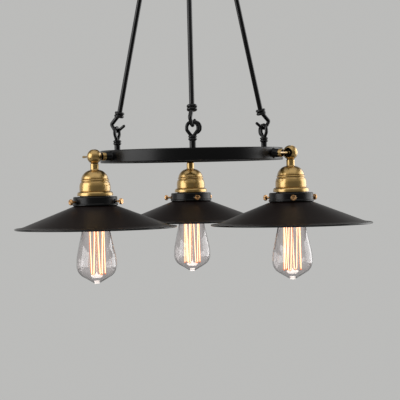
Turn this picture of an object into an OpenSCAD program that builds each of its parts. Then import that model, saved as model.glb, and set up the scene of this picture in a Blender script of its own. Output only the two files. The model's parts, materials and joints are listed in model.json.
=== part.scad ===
// Three-light hoop chandelier: a black steel hoop hangs on three hooked rods and
// carries three tilting brass lamp holders with shallow cone shades.
// Millimetres, +Z up. The origin is on the ceiling, at the middle of the rose.

/* [Suspension] */
// Ceiling to the middle height of the hoop
hang_drop = 470; // [430:1:700]
// Distance of the ceiling eyes from the middle axis
rose_eye_r = 40; // [36:0.5:44]
// Diameter of the hanger rods
rod_d = 7; // [6:0.1:8]
// How deep a rod is screwed into its hook's collar
rod_seat = 7; // [5:0.1:8]
// Diameter of the hook wire
hook_wire_d = 4.2; // [3.6:0.1:4.6]
// Distance from the rod's axis to the outer bend of a hook
hook_reach = 10.5; // [9:0.1:12]
// Height of the outer bend above the eye's wire
hook_bend_rise = 3; // [2:0.1:4]
// Distance from the rod's axis to the hook's free tip
hook_tip_reach = 11.5; // [10:0.1:13]
// Height of the free tip above the eye's wire
hook_tip_rise = 5; // [4:0.1:6]
// Bend radius of the outer bend, at the middle of the wire
hook_bend_r = 3; // [2.5:0.1:3.5]
// Distance from the eye's wire to the collar of the hook
hook_throat = 15.5; // [14:0.1:18]
// Diameter of the hook's collar
hook_collar_d = 13; // [11:0.1:15]
// Length of the hook's collar
hook_collar_l = 9; // [8:0.1:12]
// Play between a hook and the eye that it hangs in
hook_play = 0.6; // [0.5:0.05:0.9]
// Turn of the front hook about its rod, in degrees
front_hook_turn = -21; // [-25:1:0]
// Turn of the front eye about its stem, in degrees
front_eye_turn = 0; // [-8:1:8]

/* [Eyes] */
// Diameter of an eye's wire
eye_wire_d = 3.8; // [3.2:0.1:4.2]
// Width of an eye's loop, between the middles of the wire
eye_w = 15.5; // [13:0.1:17]
// Straight length in the sides of an eye's loop
eye_side = 2; // [2:0.1:6]
// Diameter of an eye's stem
eye_stem_d = 8; // [7:0.1:9]
// Height of the stem above the hoop
eye_stem_h = 10; // [6:0.1:16]
// Length of the stem below the rose
rose_stem_h = 4; // [3:0.1:10]
// Diameter of the two beads on an eye's stem
eye_bead_d = 10.8; // [9.6:0.1:12]
// Height of one bead
eye_bead_h = 3.5; // [3:0.1:4.5]
// Diameter of an eye's threaded end
eye_thread_d = 6; // [5:0.1:7]
// Length of the threaded end in the hoop
eye_thread_l = 5; // [4:0.1:5.5]

/* [Rose] */
// Diameter of the ceiling rose
rose_d = 120; // [112:1:140]
// Height of the ceiling rose
rose_h = 24; // [22:0.5:36]
// Sheet thickness of the rose
rose_wall = 1.2; // [0.8:0.1:2]
// Corner radius of the rose
rose_corner = 7; // [4:0.5:9]
// Width of the ceiling plate
plate_w = 20; // [16:0.5:24]
// Thickness of the ceiling plate
plate_t = 2; // [1.5:0.1:3]
// Length of the plate's bent legs
plate_leg = 13; // [11:0.5:16]
// Spacing of the two ceiling screw holes
plate_hole_spacing = 70; // [60:1:80]
// Diameter of the ceiling screw holes
plate_hole_d = 5; // [4:0.1:6]
// Diameter of the screws that hold the rose on its plate
rose_screw_d = 4; // [3:0.1:5]
// Diameter of the round heads of those screws
rose_screw_head_d = 8; // [7:0.1:10]
// Bore of the cord gland in the rose
gland_bore_d = 7; // [6:0.1:8]
// Outer diameter of the gland's threaded body
gland_d = 12; // [11:0.1:14]
// Width across the gland's flange
gland_flange_d = 18; // [16:0.5:20]

/* [Hoop] */
// Outer radius of the hoop
hoop_r = 134; // [128:1:160]
// Height of the hoop's tube
hoop_h = 18; // [17:0.5:22]
// Radial depth of the hoop's tube
hoop_w = 12; // [11:0.5:14]
// Wall of the hoop's tube
hoop_wall = 1.5; // [1.2:0.1:2]
// Diameter of the bosses welded on the hoop
boss_d = 12.4; // [12:0.1:14]
// Length of a boss outside the hoop
boss_l = 9; // [7:0.1:14]
// Depth of the welded nuts behind the eyes
eye_nut_l = 4.5; // [4:0.1:4.6]
// Diameter of the welded nuts
eye_nut_d = 8.6; // [8:0.1:8.8]
// Diameter of the hole for the supply cord in the hoop's inner wall
grommet_bore_d = 7; // [6:0.1:8]
// Wall of the rubber grommet in that hole
grommet_wall = 1.5; // [1.2:0.1:2]
// Width of the grommet's flange round its neck
grommet_lip = 2; // [1:0.1:3]
// Diameter of the wire bundle in the hoop
bundle_d = 4.4; // [3.6:0.1:4.6]

/* [Knuckle] */
// Diameter of the brass ferrule on the arm
ferrule_d = 12; // [11:0.1:12.4]
// Length of the ferrule
ferrule_l = 7; // [5:0.1:12]
// Diameter of the arm's threaded end
arm_thread_d = 9.8; // [9:0.1:10.4]
// Bore through the arm for the lamp's wires
arm_bore_d = 4.4; // [4.2:0.1:5]
// Thickness of the arm's flat tongue
tongue_t = 5; // [4:0.1:6]
// Height of the tongue
tongue_h = 8; // [7:0.1:9]
// Radius of the tongue's round end
tongue_end_r = 5.4; // [5:0.1:5.8]
// Diameter of the brass ball
ball_d = 19.4; // [18.6:0.1:22]
// Gap between the ball and the ferrule
ball_gap = 0.5; // [0.4:0.05:1]
// Depth of the slot below the middle of the ball
slot_depth = 6.4; // [6.2:0.1:6.8]
// Diameter of the clamp screw's shank
clamp_d = 4; // [3:0.1:5]
// Diameter of the recess for the clamp screw's head
recess_d = 12; // [11:0.1:12.6]
// Cheek left between the recess and the slot
cheek_t = 2; // [1.6:0.1:3]
// Diameter of the clamp screw's head
clamp_head_d = 6.4; // [5:0.1:8]
// Diameter of the clamp screw's thumb pin
thumb_pin_d = 3.2; // [2.4:0.1:4]
// Middle of the ball to the tip of the thumb pin
thumb_pin_reach = 33; // [24:0.5:36]
// Diameter of the neck under the ball
neck_d = 11.8; // [11.6:0.1:13]
// Middle of the ball to the top of the bell
neck_l = 19.2; // [16:0.1:26]
// Diameter of the threaded nipple under the neck
nipple_d = 9.8; // [9:0.1:10]
// Bore of the neck and the nipple
nipple_bore_d = 6; // [5:0.1:6.6]

/* [Bell and gallery] */
// Height of the bell
bell_h = 37.4; // [36.6:0.1:40]
// Radius of the bell's straight wall
bell_r = 21.6; // [21.2:0.1:22.6]
// Wall of the bell
bell_wall = 1.2; // [1:0.1:1.4]
// How far the bell's lip stands out from its wall
bell_flare = 3.3; // [2.4:0.1:4.5]
// Radius of the dome at the top of the bell
dome_r = 11.8; // [11.4:0.1:12]
// Diameter of the gallery that holds the shade
gallery_d = 62.4; // [60:0.1:66]
// Height of the gallery
gallery_h = 12.8; // [12:0.1:15]
// Sheet thickness of the gallery
gallery_wall = 1.2; // [1:0.1:1.6]
// Diameter of the shade screws
shade_screw_d = 3; // [2.5:0.1:3.5]
// Top of the gallery to the shade screws
shade_screw_drop = 6.6; // [6.2:0.1:8]
// Diameter of the gallery's bosses round the shade screws
screw_boss_d = 6.6; // [5.5:0.1:7]
// Length of those bosses
screw_boss_l = 3.4; // [2:0.1:3.8]
// Diameter of the heads of the shade screws
shade_screw_head_d = 8.8; // [7:0.1:10]
// Thickness of those heads
shade_screw_head_l = 5.2; // [4:0.1:6]
// Gap between the gallery and the heads
shade_screw_stand = 7; // [4:0.1:9]

/* [Shade] */
// Diameter of the shade over its rolled edge
shade_d = 230; // [180:1:240]
// Diameter of the shade's neck in the gallery
fitter_d = 56; // [54:0.1:56.6]
// Sheet thickness of the shade
shade_wall = 1; // [0.8:0.1:1.4]
// Slope of the cone, in degrees
shade_slope = 21.4; // [16:0.1:30]
// Width of the flatter brim round the cone
brim_w = 10; // [5:0.1:16]
// Slope of the brim, in degrees
brim_slope = 11; // [6:0.1:15]
// Wire diameter of the rolled edge
edge_roll_d = 2.4; // [2:0.1:3.2]

/* [Socket and bulb] */
// Diameter of the ceramic socket
socket_d = 34; // [33:0.1:36]
// Diameter of the flange that clamps the gallery
socket_flange_d = 44; // [40:0.1:46]
// Diameter of the bulb's screw cap
cap_d = 26.2; // [25.6:0.1:26.6]
// Length of the screw cap with its contact
cap_l = 28; // [27:0.1:29]
// Play between the cap and the screw shell
shell_play = 0.2; // [0.1:0.05:0.3]
// Wall of the screw shell
shell_wall = 0.5; // [0.4:0.05:0.7]
// Length of the bulb with its cap
bulb_l = 139; // [130:1:150]
// Largest diameter of the bulb
bulb_d = 57.6; // [54:0.1:62]
// Height of the widest place above the bulb's tip
belly_h = 28; // [26:0.1:32]
// Wall of the glass
glass_wall = 0.9; // [0.8:0.1:1.2]
// Diameter of the wire that stands for the coiled filament
filament_d = 0.9; // [0.7:0.05:1.2]
// Number of bends in the filament at its lower hooks
filament_bends = 5; // [4:1:7]

/* [Hidden] */
SIDES = ["left", "right", "back"];
lamp_azimuth = [210, 330, 90];
gallery_turn = [6, 60, 73];
RODS = ["front", "left", "right"];
rod_azimuth = [270, 150, 30];

LAMP_PARTS = ["ball", "clamp_screw", "bell", "gallery", "gallery_screws", "shade", "socket",
    "screw_shell", "contact", "bulb_glass", "bulb_cap", "bulb_mount", "filament"];

$fn = 64;
overlap = 1;
thread_play = 0.05;
hinge_play = 0.05;
seat_play = 0.2;

black = "#1d1c1e";
brass = "#a9833f";
copper = "#b87849";
ivory = "#e6e0d2";
grey = "#9a9a98";

// Hanging points, seen in the upright plane through a rod
hoop_top = -hang_drop + hoop_h / 2;
loop_foot = eye_wire_d / 2 - 0.7;
loop_h = eye_w + eye_side;
eye_r = hoop_r - hoop_w / 2;
low_z = hoop_top + eye_stem_h + 2 * eye_bead_h + loop_foot + loop_h;
high_z = -rose_h - rose_stem_h - 2 * eye_bead_h - loop_foot - loop_h;
rod_lean = atan2(eye_r - rose_eye_r, high_z - low_z);
rod_span = norm([eye_r - rose_eye_r, high_z - low_z]);

// Hook wire: the lower bend goes round the eye's wire with the hook's play
hook_round_r = (eye_wire_d + hook_wire_d) / 2 + hook_play;
hook_bend = [hook_reach, hook_bend_rise];
hook_tip = [-hook_tip_reach, hook_tip_rise];
bend_side = atan2(hook_bend.y, hook_bend.x) - acos(hook_round_r / norm(hook_bend));
tip_side = atan2(hook_tip.y, hook_tip.x) + acos(hook_round_r / norm(hook_tip)) - 360;
hook_foot = polar(hook_round_r / cos((bend_side - tip_side) / 2), (bend_side + tip_side) / 2);
hook_start = [0, hook_throat + hook_wire_d / 2];

// Lamp levels, measured from the middle of the ball
ball_r = ball_d / 2;
arm_reach = ball_r + ball_gap;
lamp_r = hoop_r + boss_l + ferrule_l + arm_reach;
slot_t = tongue_t + 0.3;
recess_floor = slot_t / 2 + cheek_t;
bell_top = -neck_l;
bell_foot = bell_top - bell_h;
gallery_r = gallery_d / 2;
screw_level = bell_foot - shade_screw_drop;
gallery_foot = bell_foot - gallery_h;
socket_r = socket_d / 2;
flange_t = 2.4;
socket_top = bell_top - 15.5;
socket_foot = bell_foot - 11;
cap_r = cap_d / 2;
shell_r = cap_r + shell_play + shell_wall;
contact_level = socket_top - 6.5;
bulb_tip = contact_level - bulb_l;
glass_top = bulb_l - cap_l + 3;
cap_rim = bulb_l - cap_l - 2;

// Bell profile: distances down from its top and in from its straight wall
bell_collar_r = 7.8;
bell_collar_h = 2;
dome_down = 13.8;
dome_in = 14.7;
upper_groove_down = 12.8;
upper_groove_in = 3.6;
bell_bead_down = 15.4;
bell_bead_in = 4;
bell_bead_r = 2.2;
lower_groove_down = 17.8;
lower_groove_in = 3.2;
shoulder_down = 20.8;
shoulder_r = 2.7;
lip_h = 5;
lip_groove_h = 1.9;
lip_groove_in = 0.4;
lip_roll_r = 1.7;
lip_edge_t = 0.8;

// Shade profile
fitter_r = fitter_d / 2;
fitter_lip = 1.4;
fitter_top = screw_level + shade_screw_d / 2 + 1.9;
cone_top = gallery_foot - seat_play + (gallery_r - gallery_wall - fitter_r) * tan(shade_slope);
cone_r = shade_d / 2 - edge_roll_d / 2 - brim_w;
cone_foot = cone_top - (cone_r - fitter_r) * tan(shade_slope);
brim_foot = cone_foot - brim_w * tan(brim_slope);
edge_r = shade_d / 2 - edge_roll_d / 2;

// Bulb profile: belly and flank are arcs, and the straight taper of the neck leaves the
// flank as its tangent and ends just under the cap
belly_arc = 17.3;
belly_turn = 64;
flank_arc = 83;
nub_r = 4.2;
bulb_neck_r = cap_r - 0.5;
flank_middle = [bulb_d / 2 - flank_arc, belly_h];
neck_corner = [bulb_neck_r, cap_rim - 0.5] - flank_middle;
flank_turn = atan2(neck_corner.y, neck_corner.x) - acos(flank_arc / norm(neck_corner));
filament_low = 12;
filament_high = 84;
filament_low_r = 12;
filament_high_r = 11.5;
button_r = 3.2;
low_button_r = 5.4;

function polar(r, a) = [r * cos(a), r * sin(a)];
function arc(middle, r, from, to, steps) =
    [for (i = [0:steps]) middle + polar(r, from + (to - from) * i / steps)];
function unit(v) = v / norm(v);
function lifted(points, level) = [for (p = points) [p.x, p.y + level]];
function reversed(list) = [for (i = [len(list) - 1:-1:0]) list[i]];

// Round bar from one point to another
module bar(from, to, r) {
    span = to - from;
    translate(from)
        rotate([0, acos(span.z / norm(span)), atan2(span.y, span.x)])
            cylinder(h = norm(span), r = r);
}

// Bent round wire in the XZ plane, through corner points with their bend radii
module bent_wire(corners, bends, r) {
    last = len(corners) - 1;
    function way(i) = unit(corners[i + 1] - corners[i]);
    function turn(i) = let (a = way(i - 1), b = way(i)) atan2(a.x * b.y - a.y * b.x, a * b);
    function cut(i) = i == 0 || i == last ? 0 : bends[i] * tan(abs(turn(i)) / 2);
    function in_xz(p) = [p.x, 0, p.y];
    for (i = [0:last - 1])
        bar(in_xz(corners[i] + way(i) * cut(i)), in_xz(corners[i + 1] - way(i) * cut(i + 1)), r);
    for (i = [1:last - 1]) {
        side = turn(i) > 0 ? 1 : -1;
        entry = corners[i] - way(i - 1) * cut(i);
        for (joint = [entry, corners[i] + way(i) * cut(i)])
            translate(in_xz(joint))
                sphere(r * 1.03);
        middle = entry + side * bends[i] * [-way(i - 1).y, way(i - 1).x];
        from = atan2(entry.y - middle.y, entry.x - middle.x);
        translate(in_xz(middle))
            rotate([90, 0, 0])
                rotate([0, 0, min(from, from + turn(i))])
                    rotate_extrude(angle = abs(turn(i)))
                        translate([bends[i], 0])
                            circle(r);
    }
}

// Collar with two round beads, standing on the XY plane
module beads(d, bead_h) {
    bulge = bead_h * 0.3;
    rotate_extrude()
        polygon(concat([[0, 0]],
            [for (k = [0, 1]) each arc([d / 2 - bulge, (k + 0.5) * bead_h], bead_h / 2, -70, 70, 6)],
            [[0, 2 * bead_h]]));
}

// Closed loop of wire in the YZ plane, with its lowest wire at the origin
module wire_loop() {
    half = eye_w / 2;
    for (end = [0, 1])
        translate([0, 0, half + end * eye_side])
            rotate([90, 0, 90])
                rotate([0, 0, end ? 0 : 180])
                    rotate_extrude(angle = 180)
                        translate([half, 0])
                            circle(d = eye_wire_d);
    for (side = [-1, 1])
        translate([0, side * half, half])
            cylinder(h = eye_side, d = eye_wire_d);
}

// Eye bolt that stands on the XY plane, with its thread below it
module eye_bolt(stem_h, thread_l) {
    translate([0, 0, -thread_l])
        cylinder(h = thread_l + overlap, d = eye_thread_d);
    cylinder(h = stem_h + overlap, d = eye_stem_d);
    translate([0, 0, stem_h])
        beads(eye_bead_d, eye_bead_h);
    translate([0, 0, stem_h + 2 * eye_bead_h + loop_foot])
        wire_loop();
}

// Hook with its collar, hung in an eye whose wire runs through the origin along Y
module hook() {
    difference() {
        union() {
            bent_wire([hook_start, hook_bend, hook_foot, hook_tip],
                [0, hook_bend_r, hook_round_r, 0], hook_wire_d / 2);
            translate([0, 0, hook_throat])
                beads(hook_collar_d, hook_collar_l / 2);
        }
        translate([0, 0, hook_throat + hook_collar_l - rod_seat])
            cylinder(h = rod_seat + overlap, d = rod_d + 2 * thread_play);
    }
}

// Frame of one rod: its lower hanging point is at the origin, and it rises along Z
module at_rod(azimuth) {
    rotate([0, 0, azimuth])
        translate([eye_r, 0, low_z])
            rotate([0, -rod_lean, 0])
                children();
}

// Frame of one lamp: the middle of its ball, with X pointing away from the hoop
module at_lamp(azimuth) {
    rotate([0, 0, azimuth])
        translate([lamp_r, 0, -hang_drop])
            children();
}

module around(azimuths) {
    for (azimuth = azimuths)
        rotate([0, 0, azimuth])
            children();
}

module revolve(points) {
    rotate_extrude()
        polygon(points);
}

// Ceiling rose
plate_reach = rose_d / 2 - rose_wall - 1.6;
module rose_plate() {
    color(grey)
    difference() {
        union() {
            translate([-plate_reach, -plate_w / 2, -plate_t])
                cube([2 * plate_reach, plate_w, plate_t]);
            for (side = [-1, 1])
                translate([side * (plate_reach - plate_t / 2) - plate_t / 2, -plate_w / 2, -plate_leg])
                    cube([plate_t, plate_w, plate_leg]);
        }
        for (side = [-1, 1]) {
            translate([side * plate_hole_spacing / 2, 0, -plate_t - overlap])
                cylinder(h = plate_t + 2 * overlap, d = plate_hole_d);
            rose_screw_axis(side)
                translate([0, 0, -4 * plate_t])
                    cylinder(h = 8 * plate_t, d = rose_screw_d + 2 * thread_play);
        }
    }
}

rose_screw_level = -plate_leg + rose_screw_head_d / 2;
module rose_screw_axis(side) {
    translate([side * plate_reach, 0, rose_screw_level])
        rotate([0, side * 90, 0])
            children();
}

module rose_cover() {
    r = rose_d / 2;
    inner_corner = rose_corner - rose_wall;
    color(black)
    difference() {
        revolve(concat(
            [[r, 0]],
            arc([r - rose_corner, -rose_h + rose_corner], rose_corner, 0, -90, 8),
            [[0, -rose_h], [0, -rose_h + rose_wall]],
            arc([r - rose_corner, -rose_h + rose_corner], inner_corner, -90, 0, 8),
            [[r - rose_wall, 0]]));
        around(rod_azimuth)
            translate([rose_eye_r, 0, -rose_h - overlap])
                cylinder(h = rose_wall + 2 * overlap, d = eye_thread_d + 2 * thread_play);
        translate([0, 0, -rose_h - overlap])
            cylinder(h = rose_wall + 2 * overlap, d = gland_d + 2 * thread_play);
        for (side = [-1, 1])
            rose_screw_axis(side)
                cylinder(h = 4 * rose_wall, d = rose_screw_d + 2 * seat_play);
    }
}

module rose_screws() {
    head_h = rose_screw_head_d * 0.3;
    color(black)
    for (side = [-1, 1])
        rose_screw_axis(side) {
            translate([0, 0, -2 * plate_t])
                cylinder(h = rose_d / 2 - plate_reach + 2 * plate_t + overlap, d = rose_screw_d);
            translate([0, 0, rose_d / 2 - plate_reach])
                revolve([[0, 0], [rose_screw_head_d / 2, 0], [rose_screw_head_d / 2, head_h / 3],
                    [rose_screw_head_d / 4, head_h], [0, head_h]]);
        }
}

rose_thread_l = rose_wall + 7;
module rose_eyes() {
    color(black)
    around(rod_azimuth)
        translate([rose_eye_r, 0, -rose_h])
            rotate([180, 0, 0])
                eye_bolt(rose_stem_h, rose_thread_l);
}

module rose_eye_nuts() {
    color(grey)
    around(rod_azimuth)
        translate([rose_eye_r, 0, -rose_h + rose_wall])
            difference() {
                cylinder(h = 5, d = 2 * eye_thread_d - 0.5, $fn = 6);
                translate([0, 0, -overlap])
                    cylinder(h = 5 + 2 * overlap, d = eye_thread_d + 2 * thread_play);
            }
}

module cord_gland() {
    flange_h = 3;
    nut_h = 3;
    color(black)
    translate([0, 0, -rose_h])
        difference() {
            union() {
                translate([0, 0, -flange_h])
                    cylinder(h = flange_h, d = gland_flange_d);
                translate([0, 0, -flange_h - 5])
                    cylinder(h = 5 + overlap, d1 = gland_d - 1, d2 = gland_d + 1);
                cylinder(h = rose_wall + nut_h + 2, d = gland_d);
                translate([0, 0, rose_wall])
                    cylinder(h = nut_h, d = gland_flange_d, $fn = 6);
            }
            translate([0, 0, -flange_h - 5 - overlap])
                cylinder(h = flange_h + rose_wall + nut_h + 9, d = gland_bore_d);
        }
}

// Three-way terminal strip, seated on the floor of the rose
module terminal_block() {
    pitch = 9;
    size = [3 * pitch, 14, 10];
    color(ivory)
    translate([-size.x / 2, 15, -rose_h + rose_wall])
        difference() {
            union() {
                cube([size.x, size.y, size.z * 0.55]);
                for (k = [0:2])
                    translate([k * pitch + 1, 0, 0])
                        cube([pitch - 2, size.y, size.z]);
            }
            for (k = [0:2]) {
                translate([(k + 0.5) * pitch, -overlap, size.z * 0.45])
                    rotate([-90, 0, 0])
                        cylinder(h = size.y + 2 * overlap, d = 3.4);
                for (end = [0.28, 0.72])
                    translate([(k + 0.5) * pitch, end * size.y, size.z * 0.45])
                        cylinder(h = size.z, d = 3.2);
            }
        }
}

// Rods and hooks
module rod(azimuth) {
    inset = hook_throat + hook_collar_l - rod_seat;
    color(black)
    at_rod(azimuth)
        translate([0, 0, inset])
            cylinder(h = rod_span - 2 * inset, d = rod_d);
}

module hooks(azimuth, turn) {
    color(black)
    at_rod(azimuth) {
        rotate([0, 0, turn])
            hook();
        translate([0, 0, rod_span])
            rotate([180, 0, 0])
                hook();
    }
}

// Hoop
hoop_mid_r = hoop_r - hoop_w / 2;
module hoop() {
    cavity = [hoop_w - 2 * hoop_wall, hoop_h - 2 * hoop_wall];
    color(black)
    translate([0, 0, -hang_drop])
        difference() {
            union() {
                rotate_extrude()
                    translate([hoop_mid_r, 0])
                        difference() {
                            square([hoop_w, hoop_h], center = true);
                            square(cavity, center = true);
                        }
                around(lamp_azimuth)
                    translate([hoop_r - hoop_wall, 0, 0])
                        rotate([0, 90, 0])
                            cylinder(h = boss_l + hoop_wall, d = boss_d);
                around(rod_azimuth)
                    translate([eye_r, 0, hoop_h / 2 - hoop_wall - eye_nut_l])
                        cylinder(h = eye_nut_l + hoop_wall / 2, d = eye_nut_d);
            }
            around(lamp_azimuth)
                translate([hoop_r - hoop_wall - overlap, 0, 0])
                    rotate([0, 90, 0])
                        cylinder(h = boss_l + hoop_wall + 2 * overlap, d = arm_thread_d + 2 * thread_play);
            around(rod_azimuth)
                translate([eye_r, 0, hoop_h / 2 - hoop_wall - eye_nut_l - overlap])
                    cylinder(h = hoop_wall + eye_nut_l + 2 * overlap, d = eye_thread_d + 2 * thread_play);
            grommet_axis()
                translate([0, 0, -overlap])
                    cylinder(h = hoop_wall + 2 * overlap, d = grommet_bore_d + 2 * grommet_wall);
        }
}

// Axis of the cord's hole, from inside the tube towards the middle of the hoop
grommet_azimuth = 90;
module grommet_axis() {
    rotate([0, 0, grommet_azimuth])
        translate([hoop_r - hoop_w + hoop_wall, 0, 0])
            rotate([0, -90, 0])
                children();
}

module hoop_eyes() {
    turns = [front_eye_turn, 0, 0];
    color(black)
    for (i = [0:2])
        rotate([0, 0, rod_azimuth[i]])
            translate([eye_r, 0, hoop_top])
                rotate([0, 0, turns[i]])
                    eye_bolt(eye_stem_h, eye_thread_l);
}

module hoop_grommet() {
    flange_t = 1.6;
    neck_r = grommet_bore_d / 2 + grommet_wall;
    color("#141414")
    translate([0, 0, -hang_drop])
        grommet_axis()
            difference() {
                union() {
                    cylinder(h = hoop_wall + 1, r = neck_r - thread_play);
                    translate([0, 0, hoop_wall + 0.4])
                        cylinder(h = flange_t, r = neck_r + grommet_lip);
                }
                translate([0, 0, -overlap])
                    cylinder(h = hoop_wall + flange_t + 3, d = grommet_bore_d);
            }
}

// Wire bundle in the hoop, with a short run into each arm
bundle_r = hoop_r - hoop_w + hoop_wall + bundle_d / 2 + 0.3;
module hoop_wires() {
    from = lamp_azimuth[1] - 360;
    color("#2b2b2b")
    translate([0, 0, -hang_drop]) {
        rotate([0, 0, from])
            rotate_extrude(angle = lamp_azimuth[0] - from)
                translate([bundle_r, 0])
                    circle(d = bundle_d);
        around(lamp_azimuth)
            translate([bundle_r, 0, 0])
                rotate([0, 90, 0])
                    cylinder(h = hoop_r + boss_l - bundle_r, d = arm_bore_d - 0.8);
    }
}

// Lamp arm: thread, ferrule and flat tongue, ending at the ball's middle
module arm(azimuth) {
    thread_l = boss_l + hoop_wall - 0.5;
    taper_l = arm_reach - ball_r + 0.2;
    color(brass)
    at_lamp(azimuth)
        difference() {
            union() {
                translate([-arm_reach - ferrule_l - thread_l, 0, 0])
                    rotate([0, 90, 0])
                        cylinder(h = thread_l + overlap, d = arm_thread_d);
                translate([-arm_reach - ferrule_l, 0, 0])
                    rotate([0, 90, 0])
                        revolve([[0, 0], [ferrule_d / 2, 0], [ferrule_d / 2, ferrule_l * 0.62],
                            [ferrule_d / 2 - 0.7, ferrule_l * 0.70],
                            [ferrule_d / 2 - 0.7, ferrule_l * 0.78],
                            [ferrule_d / 2 - 0.1, ferrule_l * 0.86],
                            [ferrule_d / 2 - 0.3, ferrule_l], [0, ferrule_l]]);
                translate([-arm_reach - taper_l, -tongue_t / 2, -tongue_h / 2])
                    cube([arm_reach + taper_l, tongue_t, tongue_h]);
                translate([0, tongue_t / 2, 0])
                    rotate([90, 0, 0])
                        cylinder(h = tongue_t, r = tongue_end_r);
            }
            translate([0, tongue_t / 2 + overlap, 0])
                rotate([90, 0, 0])
                    cylinder(h = tongue_t + 2 * overlap, d = clamp_d + 2 * hinge_play);
            translate([-arm_reach - ferrule_l - thread_l - overlap, 0, 0])
                rotate([0, 90, 0])
                    cylinder(h = thread_l + overlap + ferrule_l * 0.6, d = arm_bore_d);
        }
}

// Slotted ball with its neck and threaded nipple
module ball() {
    nipple_foot = socket_top - 4;
    slot_back = tongue_end_r + 0.5;
    color(brass)
    difference() {
        union() {
            sphere(ball_r);
            translate([0, 0, bell_top])
                cylinder(h = -bell_top, d = neck_d);
            translate([0, 0, nipple_foot])
                cylinder(h = bell_top - nipple_foot + overlap, d = nipple_d);
        }
        translate([-ball_d, -slot_t / 2, -slot_depth])
            cube([ball_d + slot_back, slot_t, ball_d]);
        translate([0, -recess_floor, 0])
            rotate([90, 0, 0])
                cylinder(h = ball_d, d = recess_d);
        translate([0, ball_r * 0.72, 0])
            rotate([90, 0, 0])
                cylinder(h = ball_d, d = clamp_d + 2 * thread_play);
        translate([0, 0, nipple_foot - overlap])
            cylinder(h = -nipple_foot - slot_depth + 2 * overlap, d = nipple_bore_d);
    }
}

module clamp_screw() {
    head_h = 2.4;
    pin_r = thumb_pin_d / 2;
    tip_h = 1.2;
    pin_top = thumb_pin_reach - recess_floor;
    color(brass)
    rotate([90, 0, 0]) {
        translate([0, 0, -ball_r * 0.65])
            cylinder(h = ball_r * 0.65 + recess_floor + overlap, d = clamp_d);
        translate([0, 0, recess_floor])
            revolve([[0, 0], [clamp_head_d / 2, 0], [clamp_head_d / 2, head_h * 0.6],
                [pin_r * 1.1, head_h * 1.6], [pin_r * 0.85, pin_top - 6 * tip_h],
                [pin_r * 1.15, pin_top - 5 * tip_h], [pin_r * 1.15, pin_top - tip_h],
                [pin_r * 0.7, pin_top], [0, pin_top]]);
    }
}

// Brass bell: top collar, dome, bead between two grooves, wall and flared lip
module bell() {
    dome_middle = [bell_r - dome_in, bell_top - dome_down];
    shoulder_level = bell_top - shoulder_down;
    lip_level = bell_foot + lip_h;
    lip_r = bell_r + bell_flare;
    inner_r = bell_r - bell_bead_in - bell_wall / 3;
    bore_r = nipple_d / 2 + 2 * thread_play;
    inner_dome = dome_r - bell_wall - seat_play;
    color(brass)
    revolve(concat(
        [[bore_r, bell_top], [bell_collar_r, bell_top], [bell_collar_r, bell_top - bell_collar_h]],
        arc(dome_middle, dome_r, 82, 8, 10),
        [[bell_r - upper_groove_in, bell_top - upper_groove_down]],
        arc([bell_r - bell_bead_in, bell_top - bell_bead_down], bell_bead_r, 65, -65, 8),
        [[bell_r - lower_groove_in, bell_top - lower_groove_down]],
        arc([bell_r - shoulder_r, shoulder_level], shoulder_r, 90, 0, 6),
        [[bell_r, lip_level + lip_groove_h],
            [bell_r - lip_groove_in, lip_level + lip_groove_h - lip_groove_in]],
        arc([bell_r - lip_groove_in / 2, lip_level - lip_groove_in / 2], lip_roll_r, 75, -10, 5),
        [[lip_r, bell_foot + lip_edge_t], [lip_r, bell_foot], [lip_r - 2 * lip_edge_t, bell_foot],
            [bell_r - bell_wall, lip_level], [bell_r - bell_wall, shoulder_level],
            [inner_r, bell_top - lower_groove_down + lip_edge_t], [inner_r, bell_top - dome_down]],
        arc(dome_middle, inner_dome, 4, 82, 8),
        [[bore_r, dome_middle.y + inner_dome]]));
}

// Black gallery: a shallow cup, open below, with three threaded bosses
module gallery() {
    corner = 2;
    top = bell_foot;
    r = gallery_r;
    roll = 0.5;
    color(black)
    difference() {
        union() {
            revolve(concat(
                [[socket_r + seat_play, top]],
                arc([r - corner, top - corner], corner, 90, 0, 5),
                [[r, gallery_foot + 2.4], [r + roll, gallery_foot + 1.6], [r + roll, gallery_foot + 0.5],
                    [r, gallery_foot], [r - gallery_wall, gallery_foot]],
                arc([r - corner, top - corner], corner - gallery_wall, 0, 90, 4),
                [[socket_r + seat_play, top - gallery_wall]]));
            around([0, 120, 240])
                translate([r - gallery_wall / 2, 0, screw_level])
                    rotate([0, 90, 0])
                        cylinder(h = gallery_wall / 2 + screw_boss_l, d = screw_boss_d);
        }
        around([0, 120, 240])
            translate([r - 3 * gallery_wall, 0, screw_level])
                rotate([0, 90, 0])
                    cylinder(h = 4 * gallery_wall + screw_boss_l, d = shade_screw_d + 2 * thread_play);
    }
}

// Three shade screws: a plain shank and a round milled head
module gallery_screws() {
    inset = fitter_r + seat_play;
    head_at = gallery_r + shade_screw_stand;
    head_r = shade_screw_head_d / 2;
    head_l = shade_screw_head_l;
    color(copper)
    around([0, 120, 240])
        translate([inset, 0, screw_level])
            rotate([0, 90, 0]) {
                cylinder(h = head_at - inset + overlap, d = shade_screw_d);
                translate([0, 0, head_at - inset])
                    revolve([[0, 0], [head_r * 0.6, 0], [head_r, head_l * 0.3],
                        [head_r, head_l * 0.75], [head_r * 0.8, head_l], [0, head_l]]);
            }
}

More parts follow.
